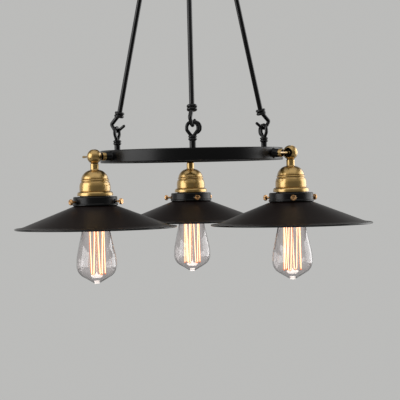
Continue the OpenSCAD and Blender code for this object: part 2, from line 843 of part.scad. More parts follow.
// Cone shade with its neck, brim and rolled edge
module shade() {
    wall = shade_wall;
    up = wall / cos(shade_slope);
    color(black)
    union() {
        revolve([
            [fitter_r, fitter_top - 1.2], [fitter_r, cone_top], [cone_r, cone_foot],
            [edge_r, brim_foot], [edge_r, brim_foot - wall], [cone_r, cone_foot - up],
            [fitter_r - wall, cone_top - up + wall * tan(shade_slope)],
            [fitter_r - wall, fitter_top], [fitter_r + fitter_lip, fitter_top],
            [fitter_r + fitter_lip, fitter_top - 1.2]]);
        translate([0, 0, brim_foot - wall / 2])
            rotate_extrude()
                translate([edge_r, 0])
                    circle(d = edge_roll_d);
    }
}

// Ceramic socket: threaded on the nipple, its flange clamps the gallery to the bell
module socket() {
    flange_top = bell_foot - gallery_wall;
    roof = socket_top - 5;
    bore_r = shell_r + seat_play;
    neck_r = nipple_d / 2 + thread_play;
    color(ivory)
    difference() {
        revolve([[neck_r, socket_top], [socket_r - 3, socket_top], [socket_r, socket_top - 4],
            [socket_r, flange_top], [socket_flange_d / 2, flange_top],
            [socket_flange_d / 2, flange_top - flange_t], [socket_r, flange_top - flange_t],
            [socket_r, socket_foot], [bore_r, socket_foot], [bore_r, roof], [neck_r, roof]]);
        for (side = [-1, 1])
            translate([side * socket_r * 0.62, 0, roof - overlap])
                cylinder(h = socket_top - roof + 2 * overlap, d = 3);
    }
}

module screw_shell() {
    top = contact_level - 3;
    color("#c9a65a")
    revolve([[shell_r, top], [shell_r, socket_foot + 1], [shell_r - shell_wall, socket_foot + 1],
        [shell_r - shell_wall, top - shell_wall], [shell_r - 4, top - shell_wall],
        [shell_r - 4, top]]);
}

// Spring contact under the socket's roof
module contact() {
    roof = socket_top - 5;
    strip_t = 0.6;
    color("#c9a65a")
    union() {
        translate([-8, -3, roof - strip_t])
            cube([16, 6, strip_t]);
        translate([-2.5, -3, contact_level])
            cube([5, 6, roof - contact_level - strip_t / 2]);
    }
}

// Distance of the glass from its axis, as an outline from the tip to the neck
function bulb_outline(inset) =
    let (
        r = bulb_d / 2,
        belly = [r - belly_arc, belly_h],
        cone_at = belly + polar(belly_arc - inset, -belly_turn),
        cone_way = [-sin(belly_turn), -cos(belly_turn)],
        cone_run = (cone_at.x - nub_r - 1) / sin(belly_turn),
        neck_at = flank_middle + polar(flank_arc - inset, flank_turn),
        neck_run = (neck_at.x - bulb_neck_r + inset) / tan(flank_turn)
    )
    concat(
        inset > 0 ? [[0, (cone_at + cone_way * cone_run).y - 0.4]] : arc([0, nub_r], nub_r, -90, 0, 6),
        [cone_at + cone_way * cone_run],
        arc(belly, belly_arc - inset, -belly_turn, 0, 12),
        arc(flank_middle, flank_arc - inset, 0, flank_turn, 5),
        [[bulb_neck_r - inset, neck_at.y + neck_run]],
        [[bulb_neck_r - inset, glass_top]]);

module bulb_glass() {
    color("#d9d4cf", 0.35)
    translate([0, 0, bulb_tip])
        revolve(concat(bulb_outline(0), reversed(bulb_outline(glass_wall))));
}

// Screw cap: rounded turns on a thin shell, closed by an insulator with its contact
module bulb_cap() {
    turns = 5;
    pitch = 3.6;
    start = cap_rim + 4;
    groove = 0.7;
    inner = bulb_neck_r + 0.05;
    thread_end = start + turns * pitch;
    color("#b9b6ae")
    translate([0, 0, bulb_tip])
        revolve(concat(
            [[inner, cap_rim], [cap_r, cap_rim], [cap_r, start - pitch / 2]],
            [for (k = [0:turns - 1]) each [[cap_r - groove, start + k * pitch],
                [cap_r, start + (k + 0.4) * pitch], [cap_r, start + (k + 0.6) * pitch]]],
            [[cap_r - groove, thread_end], [6.5, bulb_l - 2.2], [4.7, bulb_l - 2.2], [4, bulb_l],
                [0, bulb_l], [0, bulb_l - 3.6], [6, bulb_l - 3.6], [inner - 1.6, glass_top + 0.4],
                [inner - 1.6, glass_top + 0.1], [inner, glass_top + 0.1]]));
}

// Bends of the filament by number: even ones hang above, odd ones below. A bend is
// half a circle, and the angle runs from 180 to 360 along it.
filament_bend_r = 0.9;
function filament_point(k, angle) =
    let (
        low = k % 2 == 1,
        r = low ? filament_low_r : filament_high_r,
        turn = 180 * k / (filament_bends + 1) + atan(filament_bend_r * cos(angle) / r),
        dip = filament_bend_r * sin(angle),
        p = polar(r, turn)
    )
    [p.x, p.y, low ? filament_low + dip : filament_high - dip];

// Wire of six sides along a path that winds round the Z axis
module wound_wire(path, r) {
    last = len(path) - 1;
    function along(i) = unit(path[min(i + 1, last)] - path[max(i - 1, 0)]);
    function across(i) = unit(cross(along(i), [path[i].x, path[i].y, 0]));
    function rim(i, j) = path[i] + r * (cos(60 * j) * cross(across(i), along(i)) + sin(60 * j) * across(i));
    polyhedron(
        points = [for (i = [0:last]) for (j = [0:5]) rim(i, j)],
        faces = concat(
            [[for (j = [0:5]) j]],
            [for (i = [0:last - 1]) for (j = [0:5])
                [6 * i + j, 6 * i + 6 + j, 6 * i + 6 + (j + 1) % 6, 6 * i + (j + 1) % 6]],
            [[for (j = [5:-1:0]) 6 * last + j]]));
}

// Glass foot, rod and two buttons that hold the filament's hooks
module bulb_mount() {
    wire_r = 0.4;
    reach = filament_d / 2 + wire_r + 0.05;
    low_button = filament_low + 1.5;
    high_button = filament_high + 3;
    foot_r = bulb_neck_r - glass_wall - thread_play;
    color("#d9d4cf", 0.6)
    translate([0, 0, bulb_tip]) {
        rotate([0, 0, 15])
            revolve([[0, low_button - 2], [low_button_r - 1, low_button - 2],
                [low_button_r, low_button - 0.6], [low_button_r, low_button + 0.6],
                [low_button_r - 1.4, low_button + 2], [1.3, low_button + 2.6], [1.3, high_button - 2.6], [button_r - 1.4, high_button - 2],
                [button_r, high_button - 0.8], [button_r, high_button + 0.8], [4.2, high_button + 8],
                [foot_r, glass_top - 4], [foot_r, glass_top - 2], [0, glass_top - 2]]);
        for (k = [0:2 * filament_bends]) {
            low = k % 2 == 1;
            bar([0, 0, low ? low_button : high_button],
                filament_point(k, 270) + [0, 0, low ? -reach : reach], wire_r);
        }
    }
}

// Zig-zag filament between the upper and the lower hooks
module filament() {
    color("#ffb347")
    translate([0, 0, bulb_tip])
        wound_wire([for (k = [0:2 * filament_bends]) for (angle = [180:45:360])
            filament_point(k, angle)], filament_d / 2);
}

rose_plate();
rose_cover();
rose_screws();
rose_eyes();
rose_eye_nuts();
cord_gland();
terminal_block();
for (i = [0:2]) {
    rod(rod_azimuth[i]);
    hooks(rod_azimuth[i], i == 0 ? front_hook_turn : 0);
}
hoop();
hoop_eyes();
hoop_grommet();
hoop_wires();
for (i = [0:2]) {
    side = SIDES[i];
    arm(lamp_azimuth[i]);
    at_lamp(lamp_azimuth[i]) {
        ball();
        clamp_screw();
        bell();
        rotate([0, 0, gallery_turn[i]]) gallery();
        rotate([0, 0, gallery_turn[i]]) gallery_screws();
        shade();
        socket();
        screw_shell();
        contact();
        bulb_glass();
        bulb_cap();
        bulb_mount();
        filament();
    }
}
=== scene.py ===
"""Looks of a three-light hoop chandelier, modelled and finished round its CAD frame."""

import json
import math

import bmesh
import bpy
from bpy.props import FloatProperty, FloatVectorProperty, IntProperty, PointerProperty
from mathutils import Matrix, Vector


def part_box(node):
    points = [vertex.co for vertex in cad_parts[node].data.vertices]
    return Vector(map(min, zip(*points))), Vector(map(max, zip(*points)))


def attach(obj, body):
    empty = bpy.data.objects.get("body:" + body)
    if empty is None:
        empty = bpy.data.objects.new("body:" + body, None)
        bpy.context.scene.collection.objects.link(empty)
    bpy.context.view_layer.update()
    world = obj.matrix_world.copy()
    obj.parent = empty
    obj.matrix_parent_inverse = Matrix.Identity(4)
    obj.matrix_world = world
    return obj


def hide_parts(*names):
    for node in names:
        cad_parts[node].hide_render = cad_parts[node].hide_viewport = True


bl_info = {
    "name": "Hoop Chandelier",
    "version": (1, 0, 0),
    "blender": (4, 5, 0),
    "location": "3D View > Sidebar > Chandelier",
    "description": "Models and finishes a three-light hoop chandelier round its CAD frame",
    "category": "Object",
}

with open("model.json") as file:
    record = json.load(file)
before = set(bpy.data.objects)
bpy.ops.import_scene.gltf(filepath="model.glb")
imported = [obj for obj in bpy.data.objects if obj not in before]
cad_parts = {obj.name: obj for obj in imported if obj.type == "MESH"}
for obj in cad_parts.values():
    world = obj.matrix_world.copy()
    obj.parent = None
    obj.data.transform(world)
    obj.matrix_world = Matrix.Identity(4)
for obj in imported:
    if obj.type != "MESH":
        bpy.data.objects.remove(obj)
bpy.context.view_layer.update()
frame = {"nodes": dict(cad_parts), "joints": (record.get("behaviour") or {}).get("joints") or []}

# Outlines are written in millimetres; Blender's own unit is the metre.
MM = 0.001
TINY = 1e-6
FILLET_STEP = math.radians(10)

SIDES = ("left", "right", "back")
RODS = ("front", "left", "right")
JOINTS = {joint["name"]: joint for joint in frame["joints"]}
# Turns in degrees: of each gallery and the bulbs on their lamps, of each eye on the hoop
# and of the front hook on its rod
GALLERY_TURN = {"left": 6, "right": 60, "back": 73}
BULB_TURN = 5
EYE_TURN = {"front": 0, "left": 8, "right": -3}
FRONT_HOOK_TURN = -18
THIRDS = (0, 120, 240)


# Places in the frame

def pivot(joint):
    """Place of a joint's axis in the frame."""
    return Vector(JOINTS[joint]["pos_m"])


def turned(degrees, axis="Z"):
    """Rotation about one axis, in degrees."""
    return Matrix.Rotation(math.radians(degrees), 4, axis)


def moved(x=0.0, y=0.0, z=0.0):
    """Shift in millimetres."""
    return Matrix.Translation(Vector((x, y, z)) * MM)


def azimuth(point):
    """Direction of a point round the Z axis, in degrees."""
    return math.degrees(math.atan2(point.y, point.x))


def lamp_axis(side):
    """Upright frame of one lamp's turned pieces, at the middle of its ball."""
    return Matrix.Translation(pivot("tilt_" + side))


def lamp_place(side):
    """Frame of one lamp's knuckle: the middle of its ball, with X pointing away from the hoop."""
    return lamp_axis(side) @ turned(azimuth(pivot("tilt_" + side)))


def bulb_place(side):
    """Frame of one lamp's bulb: that of its knuckle, turned by as far as the bulb is screwed in."""
    return lamp_place(side) @ turned(BULB_TURN)


def lamp_levels(node):
    """Foot and top of a lamp's CAD node, in millimetres from the middle of its ball."""
    low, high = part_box(node)
    level = pivot("tilt_left").z
    return (low.z - level) / MM, (high.z - level) / MM


def bulb_tip():
    """Level of a bulb's tip, in millimetres from the middle of its ball."""
    return lamp_levels("bulb_glass_left")[0]


def rod_line(rod):
    """Frame of one rod, rising along Z from its lower hanging point, and its length in millimetres."""
    high = pivot("sway_" + rod)
    low = pivot("hoop_level")
    around = azimuth(high)
    drop = high.z - low.z
    spread = low.xy.length - high.xy.length
    foot = turned(around) @ Vector((low.xy.length, 0, low.z))
    lean = math.degrees(math.atan2(spread, drop))
    place = Matrix.Translation(foot) @ turned(around) @ turned(-lean, "Y")
    return place, math.hypot(spread, drop) / MM


# Settings

def length(name, millimetres, description):
    """Length property with its default in millimetres."""
    return FloatProperty(name=name, description=description, default=millimetres * MM, min=0.0,
                         precision=4, unit="LENGTH")


def colour(name, default, description):
    """Colour property."""
    return FloatVectorProperty(name=name, description=description, default=default, size=3,
                               min=0.0, max=1.0, subtype="COLOR")


def power(name, watts, description):
    """Power of a light."""
    return FloatProperty(name=name, description=description, default=watts, min=0.0, unit="POWER")


class HangerSizes(bpy.types.PropertyGroup):
    """Sizes of the rods, hooks and eyes."""

    rod: length("Rod", 7.4, "Diameter of a hanger rod")
    rod_seat: length("Rod seat", 7.0, "Depth of a rod in its hook's collar")
    hook_wire: length("Hook wire", 5.2, "Diameter of the hook's wire")
    hook_reach: length("Hook reach", 10.5, "Distance from the rod's axis to the outer bend")
    hook_throat: length("Hook throat", 15.5, "Distance from the eye's wire to the collar")
    collar: length("Collar", 13.0, "Diameter of the hook's beaded collar")
    collar_length: length("Collar length", 9.0, "Length of the hook's beaded collar")
    eye_wire: length("Eye wire", 4.9, "Diameter of the eye's wire")
    eye_width: length("Eye width", 15.5, "Width of an eye between the middles of its wire")
    eye_side: length("Eye side", 2.0, "Straight length in the sides of an eye")
    stem: length("Stem", 9.0, "Diameter of an eye's stem")
    stem_length: length("Stem length", 10.0, "Height of a stem on the hoop")
    rose_stem_length: length("Rose stem length", 4.0, "Length of a stem under the rose")
    bead: length("Bead", 10.8, "Diameter of the beads on a stem")
    bead_length: length("Bead length", 3.5, "Height of one bead on a stem")


class HoopSizes(bpy.types.PropertyGroup):
    """Sizes of the hoop and the rose."""

    radius: length("Radius", 134.0, "Outer radius of the hoop")
    depth: length("Depth", 12.0, "Radial depth of the hoop's tube")
    corner: length("Corner", 1.5, "Corner radius of the hoop's tube")
    boss: length("Boss", 12.4, "Diameter of the bosses for the lamp arms")
    boss_length: length("Boss length", 9.0, "Length of those bosses")
    weld: length("Weld", 1.1, "Leg of the weld bead round a boss")
    rose_corner: length("Rose corner", 7.0, "Corner radius of the ceiling rose")
    rose_wall: length("Rose wall", 1.2, "Sheet thickness of the ceiling rose")


class LampSizes(bpy.types.PropertyGroup):
    """Sizes of one lamp."""

    ball: length("Ball", 21.0, "Diameter of the brass ball")
    neck: length("Neck", 11.8, "Diameter of the neck under the ball")
    slot: length("Slot", 5.3, "Width of the slot in the ball")
    slot_depth: length("Slot depth", 6.4, "Depth of the slot below the middle of the ball")
    recess: length("Recess", 13.2, "Diameter of the recess for the clamp screw")
    recess_floor: length("Recess floor", 4.65, "Middle of the ball to the floor of the recess")
    ferrule: length("Ferrule", 12.0, "Diameter of the arm's ferrule")
    ferrule_length: length("Ferrule length", 5.4, "Length of the ferrule")
    knuckle_gap: length("Knuckle gap", 1.6, "Gap between the ball and the ferrule")
    tongue: length("Tongue", 5.0, "Thickness of the arm's flat tongue")
    tongue_height: length("Tongue height", 8.0, "Height of the tongue")
    thumb_pin: length("Thumb pin", 2.8, "Diameter of the clamp screw's thumb pin")
    thumb_pin_reach: length("Thumb pin reach", 35.5, "Middle of the ball to the tip of the pin")
    bell: length("Bell", 22.1, "Radius of the bell's wall at its foot")
    bell_flare: length("Bell flare", 3.3, "How far the bell's lip stands out")
    gallery: length("Gallery", 62.4, "Diameter of the gallery")
    gallery_wall: length("Gallery wall", 1.2, "Sheet thickness of the gallery")
    screw: length("Screw", 3.0, "Diameter of a shade screw")
    screw_drop: length("Screw drop", 7.1, "Top of the gallery to the shade screws")
    screw_head: length("Screw head", 8.5, "Diameter of a shade screw's head")
    screw_head_length: length("Screw head length", 4.4, "Thickness of that head")
    screw_stand: length("Screw stand", 6.8, "Gap between the gallery and the heads")
    screw_boss: length("Screw boss", 6.6, "Diameter of the gallery's screw bosses")
    screw_boss_length: length("Screw boss length", 1.8, "Length of those bosses")
    fitter: length("Fitter", 56.0, "Diameter of the shade's neck")
    brim: length("Brim", 10.0, "Width of the flatter brim round the cone")
    edge_roll: length("Edge roll", 2.4, "Thickness of the shade's rolled edge")
    shade_wall: length("Shade wall", 1.0, "Sheet thickness of the shade")
    socket: length("Socket", 34.0, "Diameter of the ceramic socket")
    socket_flange: length("Socket flange", 44.0, "Diameter of the socket's flange")


class BulbSizes(bpy.types.PropertyGroup):
    """Sizes of one bulb."""

    neck: length("Neck", 25.2, "Diameter of the glass in the cap")
    belly_height: length("Belly height", 26.4, "Tip of the bulb to its widest place")
    belly_arc: length("Belly arc", 18.7, "Radius of the outline under the widest place")
    flank_arc: length("Flank arc", 83.0, "Radius of the outline over the widest place")
    nub: length("Nub", 8.8, "Diameter of the sealed tip")
    glass: length("Glass", 0.9, "Wall of the glass")
    wire: length("Wire", 2.0, "Diameter of the filament")
    filament_low: length("Filament low", 16.0, "Tip of the bulb to the filament's lower bends")
    filament_high: length("Filament high", 84.0, "Tip of the bulb to the filament's upper bends")
    filament_radius: length("Filament radius", 12.0, "Distance of the filament from the axis")
    filament_bends: IntProperty(name="Filament bends", default=5, min=3, max=8,
                                description="Number of bends at the lower hooks")


class FinishColours(bpy.types.PropertyGroup):
    """Colours of the finishes."""

    enamel: colour("Enamel", (0.0014, 0.0013, 0.0014), "Satin black of the hoop, rods and galleries")
    shade: colour("Shade", (0.0066, 0.0025, 0.0014), "Charcoal black of the shades")
    brass: colour("Brass", (0.54, 0.335, 0.088), "Antique brass of the lamp holders")
    # This colour is patina and also painted shade in the grooves of the brass.
    patina_and_shade: colour("Patina", (0.26, 0.15, 0.04), "Brown patina in the grooves of the brass")
    copper: colour("Copper", (0.76, 0.44, 0.20), "Copper tone of the shade screws")
    porcelain: colour("Porcelain", (0.72, 0.69, 0.61), "Glaze of the sockets")
    glass: colour("Glass", (0.93, 0.90, 0.90), "Faint tint of the bulbs")
    glow: colour("Glow", (1.0, 0.78, 0.50), "Glow of the filament's middle")
    ember: colour("Ember", (0.46, 0.085, 0.004), "Glow of the filament's edge")
    zinc: colour("Zinc", (0.52, 0.53, 0.54), "Zinc of the ceiling plate")
    rubber: colour("Rubber", (0.012, 0.012, 0.012), "Black of the gland and the grommet")
    ivory: colour("Ivory", (0.70, 0.66, 0.56), "Ivory of the terminal strip")


class StageSettings(bpy.types.PropertyGroup):
    """Camera, light and floor."""

    backdrop: colour("Backdrop", (0.50, 0.50, 0.49), "Pale colour of the backdrop and the floor")
    room: colour("Room", (0.16, 0.16, 0.16), "Dim colour of the studio on the viewer's side")
    ceiling: colour("Ceiling", (0.42, 0.42, 0.42), "Colour of the lit ceiling on the viewer's side")
    floor_level: length("Floor level", 1350.0, "Depth of the floor under the ceiling")
    left_light: power("Left light", 26.0, "Power of the soft light on the left")
    right_light: power("Right light", 26.0, "Power of the soft light on the right")
    top_light: power("Top light", 13.0, "Power of the soft light overhead")


class ChandelierSettings(bpy.types.PropertyGroup):
    """All sizes and colours of the chandelier."""

    hanger: PointerProperty(type=HangerSizes)
    hoop: PointerProperty(type=HoopSizes)
    lamp: PointerProperty(type=LampSizes)
    bulb: PointerProperty(type=BulbSizes)
    finish: PointerProperty(type=FinishColours)
    stage: PointerProperty(type=StageSettings)


def settings():
    """Settings of the open scene."""
    return bpy.context.scene.chandelier


class Millimetres:
    """Reads the lengths of one group of settings in millimetres."""

    def __init__(self, name):
        self.group = getattr(settings(), name)

    def __getattr__(self, name):
        return getattr(self.group, name) / MM


# Outlines and meshes

def polar(radius, degrees):
    """Point at a distance and an angle from the origin."""
    angle = math.radians(degrees)
    return Vector((radius * math.cos(angle), radius * math.sin(angle)))


def arc(middle, radius, start, end, steps=12):
    """Points along an arc, from one angle to another in degrees."""
    points = []
    for step in range(steps + 1):
        points.append(Vector(middle) + polar(radius, start + (end - start) * step / steps))
    return points


def rounded(corners, closed=False):
    """Outline through corners (x, y, fillet radius); a corner without a radius stays sharp."""
    outline = []
    count = len(corners)
    for index, corner in enumerate(corners):
        here = Vector(corner[:2])
        at_end = not closed and index in (0, count - 1)
        if len(corner) == 2 or at_end:
            outline.append(here)
            continue
        before = (Vector(corners[index - 1][:2]) - here).normalized()
        after = (Vector(corners[(index + 1) % count][:2]) - here).normalized()
        half = before.angle(after) / 2
        middle = here + (before + after).normalized() * (corner[2] / math.sin(half))
        reach = corner[2] / math.tan(half)
        start = here + before * reach - middle
        end = here + after * reach - middle
        turn = math.pi - 2 * half
        steps = max(2, math.ceil(turn / FILLET_STEP))
        for step in range(steps + 1):
            part = step / steps
            swing = start * math.sin((1 - part) * turn) + end * math.sin(part * turn)
            outline.append(middle + swing / math.sin(turn))
    return outline


def bridge(mesh, low, high):
    """Fills the band between two rings of points; a ring of one point is a pole."""
    count = max(len(low), len(high))
    for step in range(count):
        after = (step + 1) % count
        corners = (low[step % len(low)], low[after % len(low)],
                   high[after % len(high)], high[step % len(high)])
        mesh.faces.new(dict.fromkeys(corners))


def lathe(mesh, corners, place=Matrix(), closed=False, segments=96, wave=None):
    """Turns an outline of (radius, height, fillet) round the Z axis of place; wave cuts into it."""
    rings = []
    for radius, height in rounded(corners, closed):
        ring = []
        for step in range(segments if radius > TINY else 1):
            angle = 2 * math.pi * step / segments
            reach = radius - wave(height, angle) if wave else radius
            point = Vector((reach * math.cos(angle), reach * math.sin(angle), height))
            ring.append(mesh.verts.new(place @ (point * MM)))
        rings.append(ring)
    for low, high in zip(rings, rings[1:]):
        bridge(mesh, low, high)
    if closed:
        bridge(mesh, rings[-1], rings[0])


def tube(mesh, path, radius, place=Matrix(), closed=False, sides=16, taper=1.0):
    """Sweeps round wire along a path, with round ends unless it is closed; taper thins its far end."""
    points = [Vector(point) for point in path]
    last = len(points) - 1
    stations = []
    for index, point in enumerate(points):
        before = points[index - 1] if closed or index else point
        after = points[(index + 1) % len(points)] if closed or index < last else point
        thick = radius * (1 + (taper - 1) * index / last)
        stations.append((point, (after - before).normalized(), thick))
    if not closed:
        stations = round_end(stations[0], -1)[::-1] + stations + round_end(stations[-1], 1)
    across = stations[len(stations) // 2][1].orthogonal()
    rings = []
    for point, along, thick in stations:
        across = (across - along * across.dot(along)).normalized()
        beside = along.cross(across)
        ring = []
        for step in range(sides if thick > TINY else 1):
            out = polar(thick, 360 * step / sides)
            ring.append(mesh.verts.new(place @ ((point + across * out.x + beside * out.y) * MM)))
        rings.append(ring)
    for low, high in zip(rings, rings[1:]):
        bridge(mesh, low, high)
    if closed:
        bridge(mesh, rings[-1], rings[0])


def round_end(station, way, steps=4):
    """Shrinking rings past the end of a wire, up to its pole."""
    point, along, radius = station
    rings = []
    for step in range(1, steps + 1):
        out = polar(radius, 90 * step / steps)
        thick = out.x if step < steps else 0.0
        rings.append((point + along * (way * out.y), along, thick))
    return rings


def slab(mesh, outline, thickness, edge, place=Matrix()):
    """Flat plate of an outline in the XZ plane, with chamfered edges."""
    centre = sum(outline, Vector((0, 0))) / len(outline)
    half = thickness / 2
    rings = []
    for depth, inset in ((-half, edge), (-half + edge, 0), (half - edge, 0), (half, edge)):
        ring = []
        for point in outline:
            drawn = point + (centre - point).normalized() * inset
            ring.append(mesh.verts.new(place @ (Vector((drawn.x, depth, drawn.y)) * MM)))
        rings.append(ring)
    for low, high in zip(rings, rings[1:]):
        bridge(mesh, low, high)
    mesh.faces.new(rings[0])
    mesh.faces.new(rings[-1])


def second_finish(mesh, first):
    """Gives all faces but the first ones the second finish of their mesh."""
    for face in mesh.faces:
        if face not in first:
            face.material_index = 1


def solid(name, mesh, *finishes, sharp=40):
    """Mesh data from a bmesh, smooth but for its sharp edges, with its finishes."""
    bmesh.ops.recalc_face_normals(mesh, faces=mesh.faces)
    data = bpy.data.meshes.new(name)
    mesh.to_mesh(data)
    mesh.free()
    data.shade_smooth()
    data.set_sharp_from_angle(angle=math.radians(sharp))
    for look in finishes:
        data.materials.append(look)
    return data


def linked(name, data):
    """New object in the scene."""
    made = bpy.data.objects.new(name, data)
    bpy.context.scene.collection.objects.link(made)
    return made


def put(name, data, body, replaced, place=Matrix()):
    """Places a piece, lets it ride on its body and stand for its CAD nodes."""
    made = linked(name, data)
    made.matrix_world = place
    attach(made, body)
    if replaced:
        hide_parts(*replaced)


def put_on_lamps(word, data, node, frame_of=lamp_axis):
    """Places one piece of each lamp; the three share their mesh."""
    for side in SIDES:
        replaced = [node + "_" + side] if node else []
        put(side + "_" + word, data, "lamp_" + side, replaced, frame_of(side))


def coat(look, *nodes):
    """Gives CAD nodes that stay in sight their finish."""
    for node in nodes:
        data = frame["nodes"][node].data
        data.materials.clear()
        data.materials.append(look)


def on_lamps(*nodes):
    """Names of the CAD nodes of all three lamps."""
    return [node + "_" + side for side in SIDES for node in nodes]


def carved(name, mesh, cutters, voxel):
    """Mesh data less the cutters, with its edges worn round; voxel is its grain in millimetres."""
    base = linked(name, solid(name, mesh))
    tools = [linked(name + "_cut", solid(name + "_cut", cutter)) for cutter in cutters]
    for tool in tools:
        cut = base.modifiers.new("Cut", "BOOLEAN")
        cut.operation = "DIFFERENCE"
        cut.solver = "EXACT"
        cut.object = tool
    grain = base.modifiers.new("Even", "REMESH")
    grain.mode = "VOXEL"
    grain.voxel_size = voxel * MM
    wear = base.modifiers.new("Wear", "SMOOTH")
    wear.factor = 0.5
    wear.iterations = 5
    seen = base.evaluated_get(bpy.context.evaluated_depsgraph_get())
    data = bpy.data.meshes.new_from_object(seen)
    for used in [base, *tools]:
        bpy.data.objects.remove(used)
    data.shade_smooth()
    return data


# Finishes

class Value:
    """Socket of a node tree; arithmetic on it adds Math nodes."""

    def __init__(self, paint, socket):
        self.paint = paint
        self.socket = socket

    def math(self, operation, first, second):
        return self.paint.node("ShaderNodeMath", {"operation": operation}, {0: first, 1: second})

    def __add__(self, other):
        return self.math("ADD", self, other)

    def __sub__(self, other):
        return self.math("SUBTRACT", self, other)

    def __rsub__(self, other):
        return self.math("SUBTRACT", other, self)

    def __mul__(self, other):
        return self.math("MULTIPLY", self, other)

    def __pow__(self, other):
        return self.math("POWER", self, other)

    __radd__ = __add__
    __rmul__ = __mul__


class Paint:
    """Builds one node tree."""

    def __init__(self, tree):
        self.tree = tree
        tree.nodes.clear()

    def node(self, kind, setup=None, sockets=None, output=0):
        """Adds a node, sets it up and returns one of its outputs."""
        made = self.tree.nodes.new(kind)
        for name, setting in (setup or {}).items():
            setattr(made, name, setting)
        for key, value in (sockets or {}).items():
            if isinstance(value, Value):
                self.tree.links.new(value.socket, made.inputs[key])
            else:
                made.inputs[key].default_value = value
        return Value(self, made.outputs[output])

    def place(self, x=1.0, y=1.0, z=1.0):
        """Object coordinates, stretched along each axis."""
        spot = self.node("ShaderNodeTexCoord", output="Object")
        return self.node("ShaderNodeVectorMath", {"operation": "MULTIPLY"}, {0: spot, 1: (x, y, z)})

    def part(self, vector, axis):
        """One part of a vector."""
        return self.node("ShaderNodeSeparateXYZ", None, {0: vector}, axis)

    def facing(self):
        """0 where a surface faces the viewer, 1 at its rim."""
        return self.node("ShaderNodeLayerWeight", None, {"Blend": 0.5}, "Facing")

    def noise(self, place, scale, detail=3.0, roughness=0.5):
        """Soft noise from 0 to 1, with its scale per metre."""
        return self.node("ShaderNodeTexNoise", None,
                         {"Vector": place, "Scale": scale, "Detail": detail, "Roughness": roughness})

    def step(self, value, low, high):
        """Value spread from 0 at low to 1 at high, and held there."""
        return self.node("ShaderNodeMapRange", {"interpolation_type": "SMOOTHSTEP"},
                         {0: value, 1: low, 2: high})

    def mix(self, factor, first, second):
        """Colour between two colours."""
        return self.node("ShaderNodeMix", {"data_type": "RGBA"},
                         {0: factor, 6: opaque(first), 7: opaque(second)}, output=2)

    def hollow(self, distance):
        """1 deep in a corner or a groove, 0 out in the open."""
        reach = {"Distance": distance * MM}
        setup = {"samples": 6, "only_local": True}
        return 1 - self.node("ShaderNodeAmbientOcclusion", setup, reach, "AO")

    def bump(self, height, distance, strength):
        """Normal of a surface with small relief, its depth in millimetres."""
        return self.node("ShaderNodeBump", None,
                         {"Strength": strength, "Distance": distance * MM, "Height": height})

    def shader(self, **sockets):
        """Principled shader; two words of a socket's name are joined with an underscore."""
        named = {name.replace("_", " "): value for name, value in sockets.items()}
        return self.node("ShaderNodeBsdfPrincipled", None, named)

    def show(self, surface, kind="ShaderNodeOutputMaterial"):
        """Adds the output node and links the surface to it."""
        end = self.tree.nodes.new(kind)
        self.tree.links.new(surface.socket, end.inputs["Surface"])


def opaque(tone):
    """Colour with its alpha, or a linked colour as it is."""
    return tone if isinstance(tone, Value) else (*tone, 1.0)


def scaled(tone, factor):
    """Colour made lighter or darker."""
    return tuple(part * factor for part in tone)


def material(name):
    """New material and the paint that builds it."""
    made = bpy.data.materials.new(name)
    made.use_nodes = True
    return made, Paint(made.node_tree)


def finish(name):
    """Material of one finish, made by the function of that name when it is first asked for."""
    label = "chandelier_" + name
    found = bpy.data.materials.get(label)
    return found if found else FINISHES[name](label)


def enamel(name, tone, roughness, specular, grain):
    """Baked enamel on metal: fine orange peel, soft clouds and handling marks."""
    made, paint = material(name)
    spot = paint.place()
    peel = paint.noise(spot, grain, detail=2.0)
    cloud = paint.noise(spot, 38.0, detail=4.0, roughness=0.6)
    rubbed = paint.noise(paint.place(z=3.0), 160.0, detail=5.0, roughness=0.65)
    marks = paint.step(rubbed, 0.55, 0.75)
    paint.show(paint.shader(
        Base_Color=paint.mix(cloud, scaled(tone, 0.75), scaled(tone, 1.35)),
        Roughness=roughness - 0.04 + cloud * 0.08 + marks * 0.05 + peel * 0.03,
        Specular_IOR_Level=specular,
        Normal=paint.bump(peel, distance=0.03, strength=0.22)))
    return made


def black_enamel(name):
    """Satin black of the hoop, galleries and rose."""
    return enamel(name, settings().finish.enamel, roughness=0.31, specular=0.30, grain=900.0)


def rod_enamel(name):
    """Glossier black of the rods, hooks, hoop eyes and the shades' rolled edges."""
    return enamel(name, settings().finish.enamel, roughness=0.13, specular=0.4, grain=700.0)


def oxide(name):
    """Matt black, painted shade in the recess of a ball and the groove under it."""
    return enamel(name, settings().finish.enamel, roughness=0.65, specular=0.05, grain=900.0)


def shade_enamel(name):
    """Charcoal black of the shades."""
    return enamel(name, settings().finish.shade, roughness=0.38, specular=0.47, grain=1200.0)


def turned_metal(name, tone, patina_and_shade, roughness, lacquer=0.0):
    """Turned metal: fine turning marks, soft tarnish, patina and painted shade in its grooves, and clear
    lacquer.
    """
    made, paint = material(name)
    lines = paint.noise(paint.place(40.0, 40.0, 2600.0), 1.0, roughness=0.6)
    tarnish = paint.noise(paint.place(), 120.0, detail=5.0, roughness=0.62)
    hollow = paint.hollow(1.0)
    # Ambient occlusion darkens the grooves: real patina together with painted shade.
    groove_patina_and_shade = paint.step(hollow + tarnish * 0.12, 0.42, 0.85)
    bright = paint.mix(paint.step(tarnish, 0.32, 0.72), tone, scaled(tone, 0.86))
    paint.show(paint.shader(
        Base_Color=paint.mix(groove_patina_and_shade * 0.85, bright, patina_and_shade),
        Metallic=1.0,
        Roughness=roughness + lines * 0.1 + tarnish * 0.06 + groove_patina_and_shade * 0.2,
        Coat_Weight=lacquer,
        Coat_Roughness=0.2,
        Coat_IOR=1.65,
        Normal=paint.bump(lines, distance=0.02, strength=0.1)))
    return made


def antique_brass(name):
    """Satin antique brass of the lamp holders."""
    tones = settings().finish
    return turned_metal(name, tones.brass, tones.patina_and_shade, roughness=0.25, lacquer=1.0)


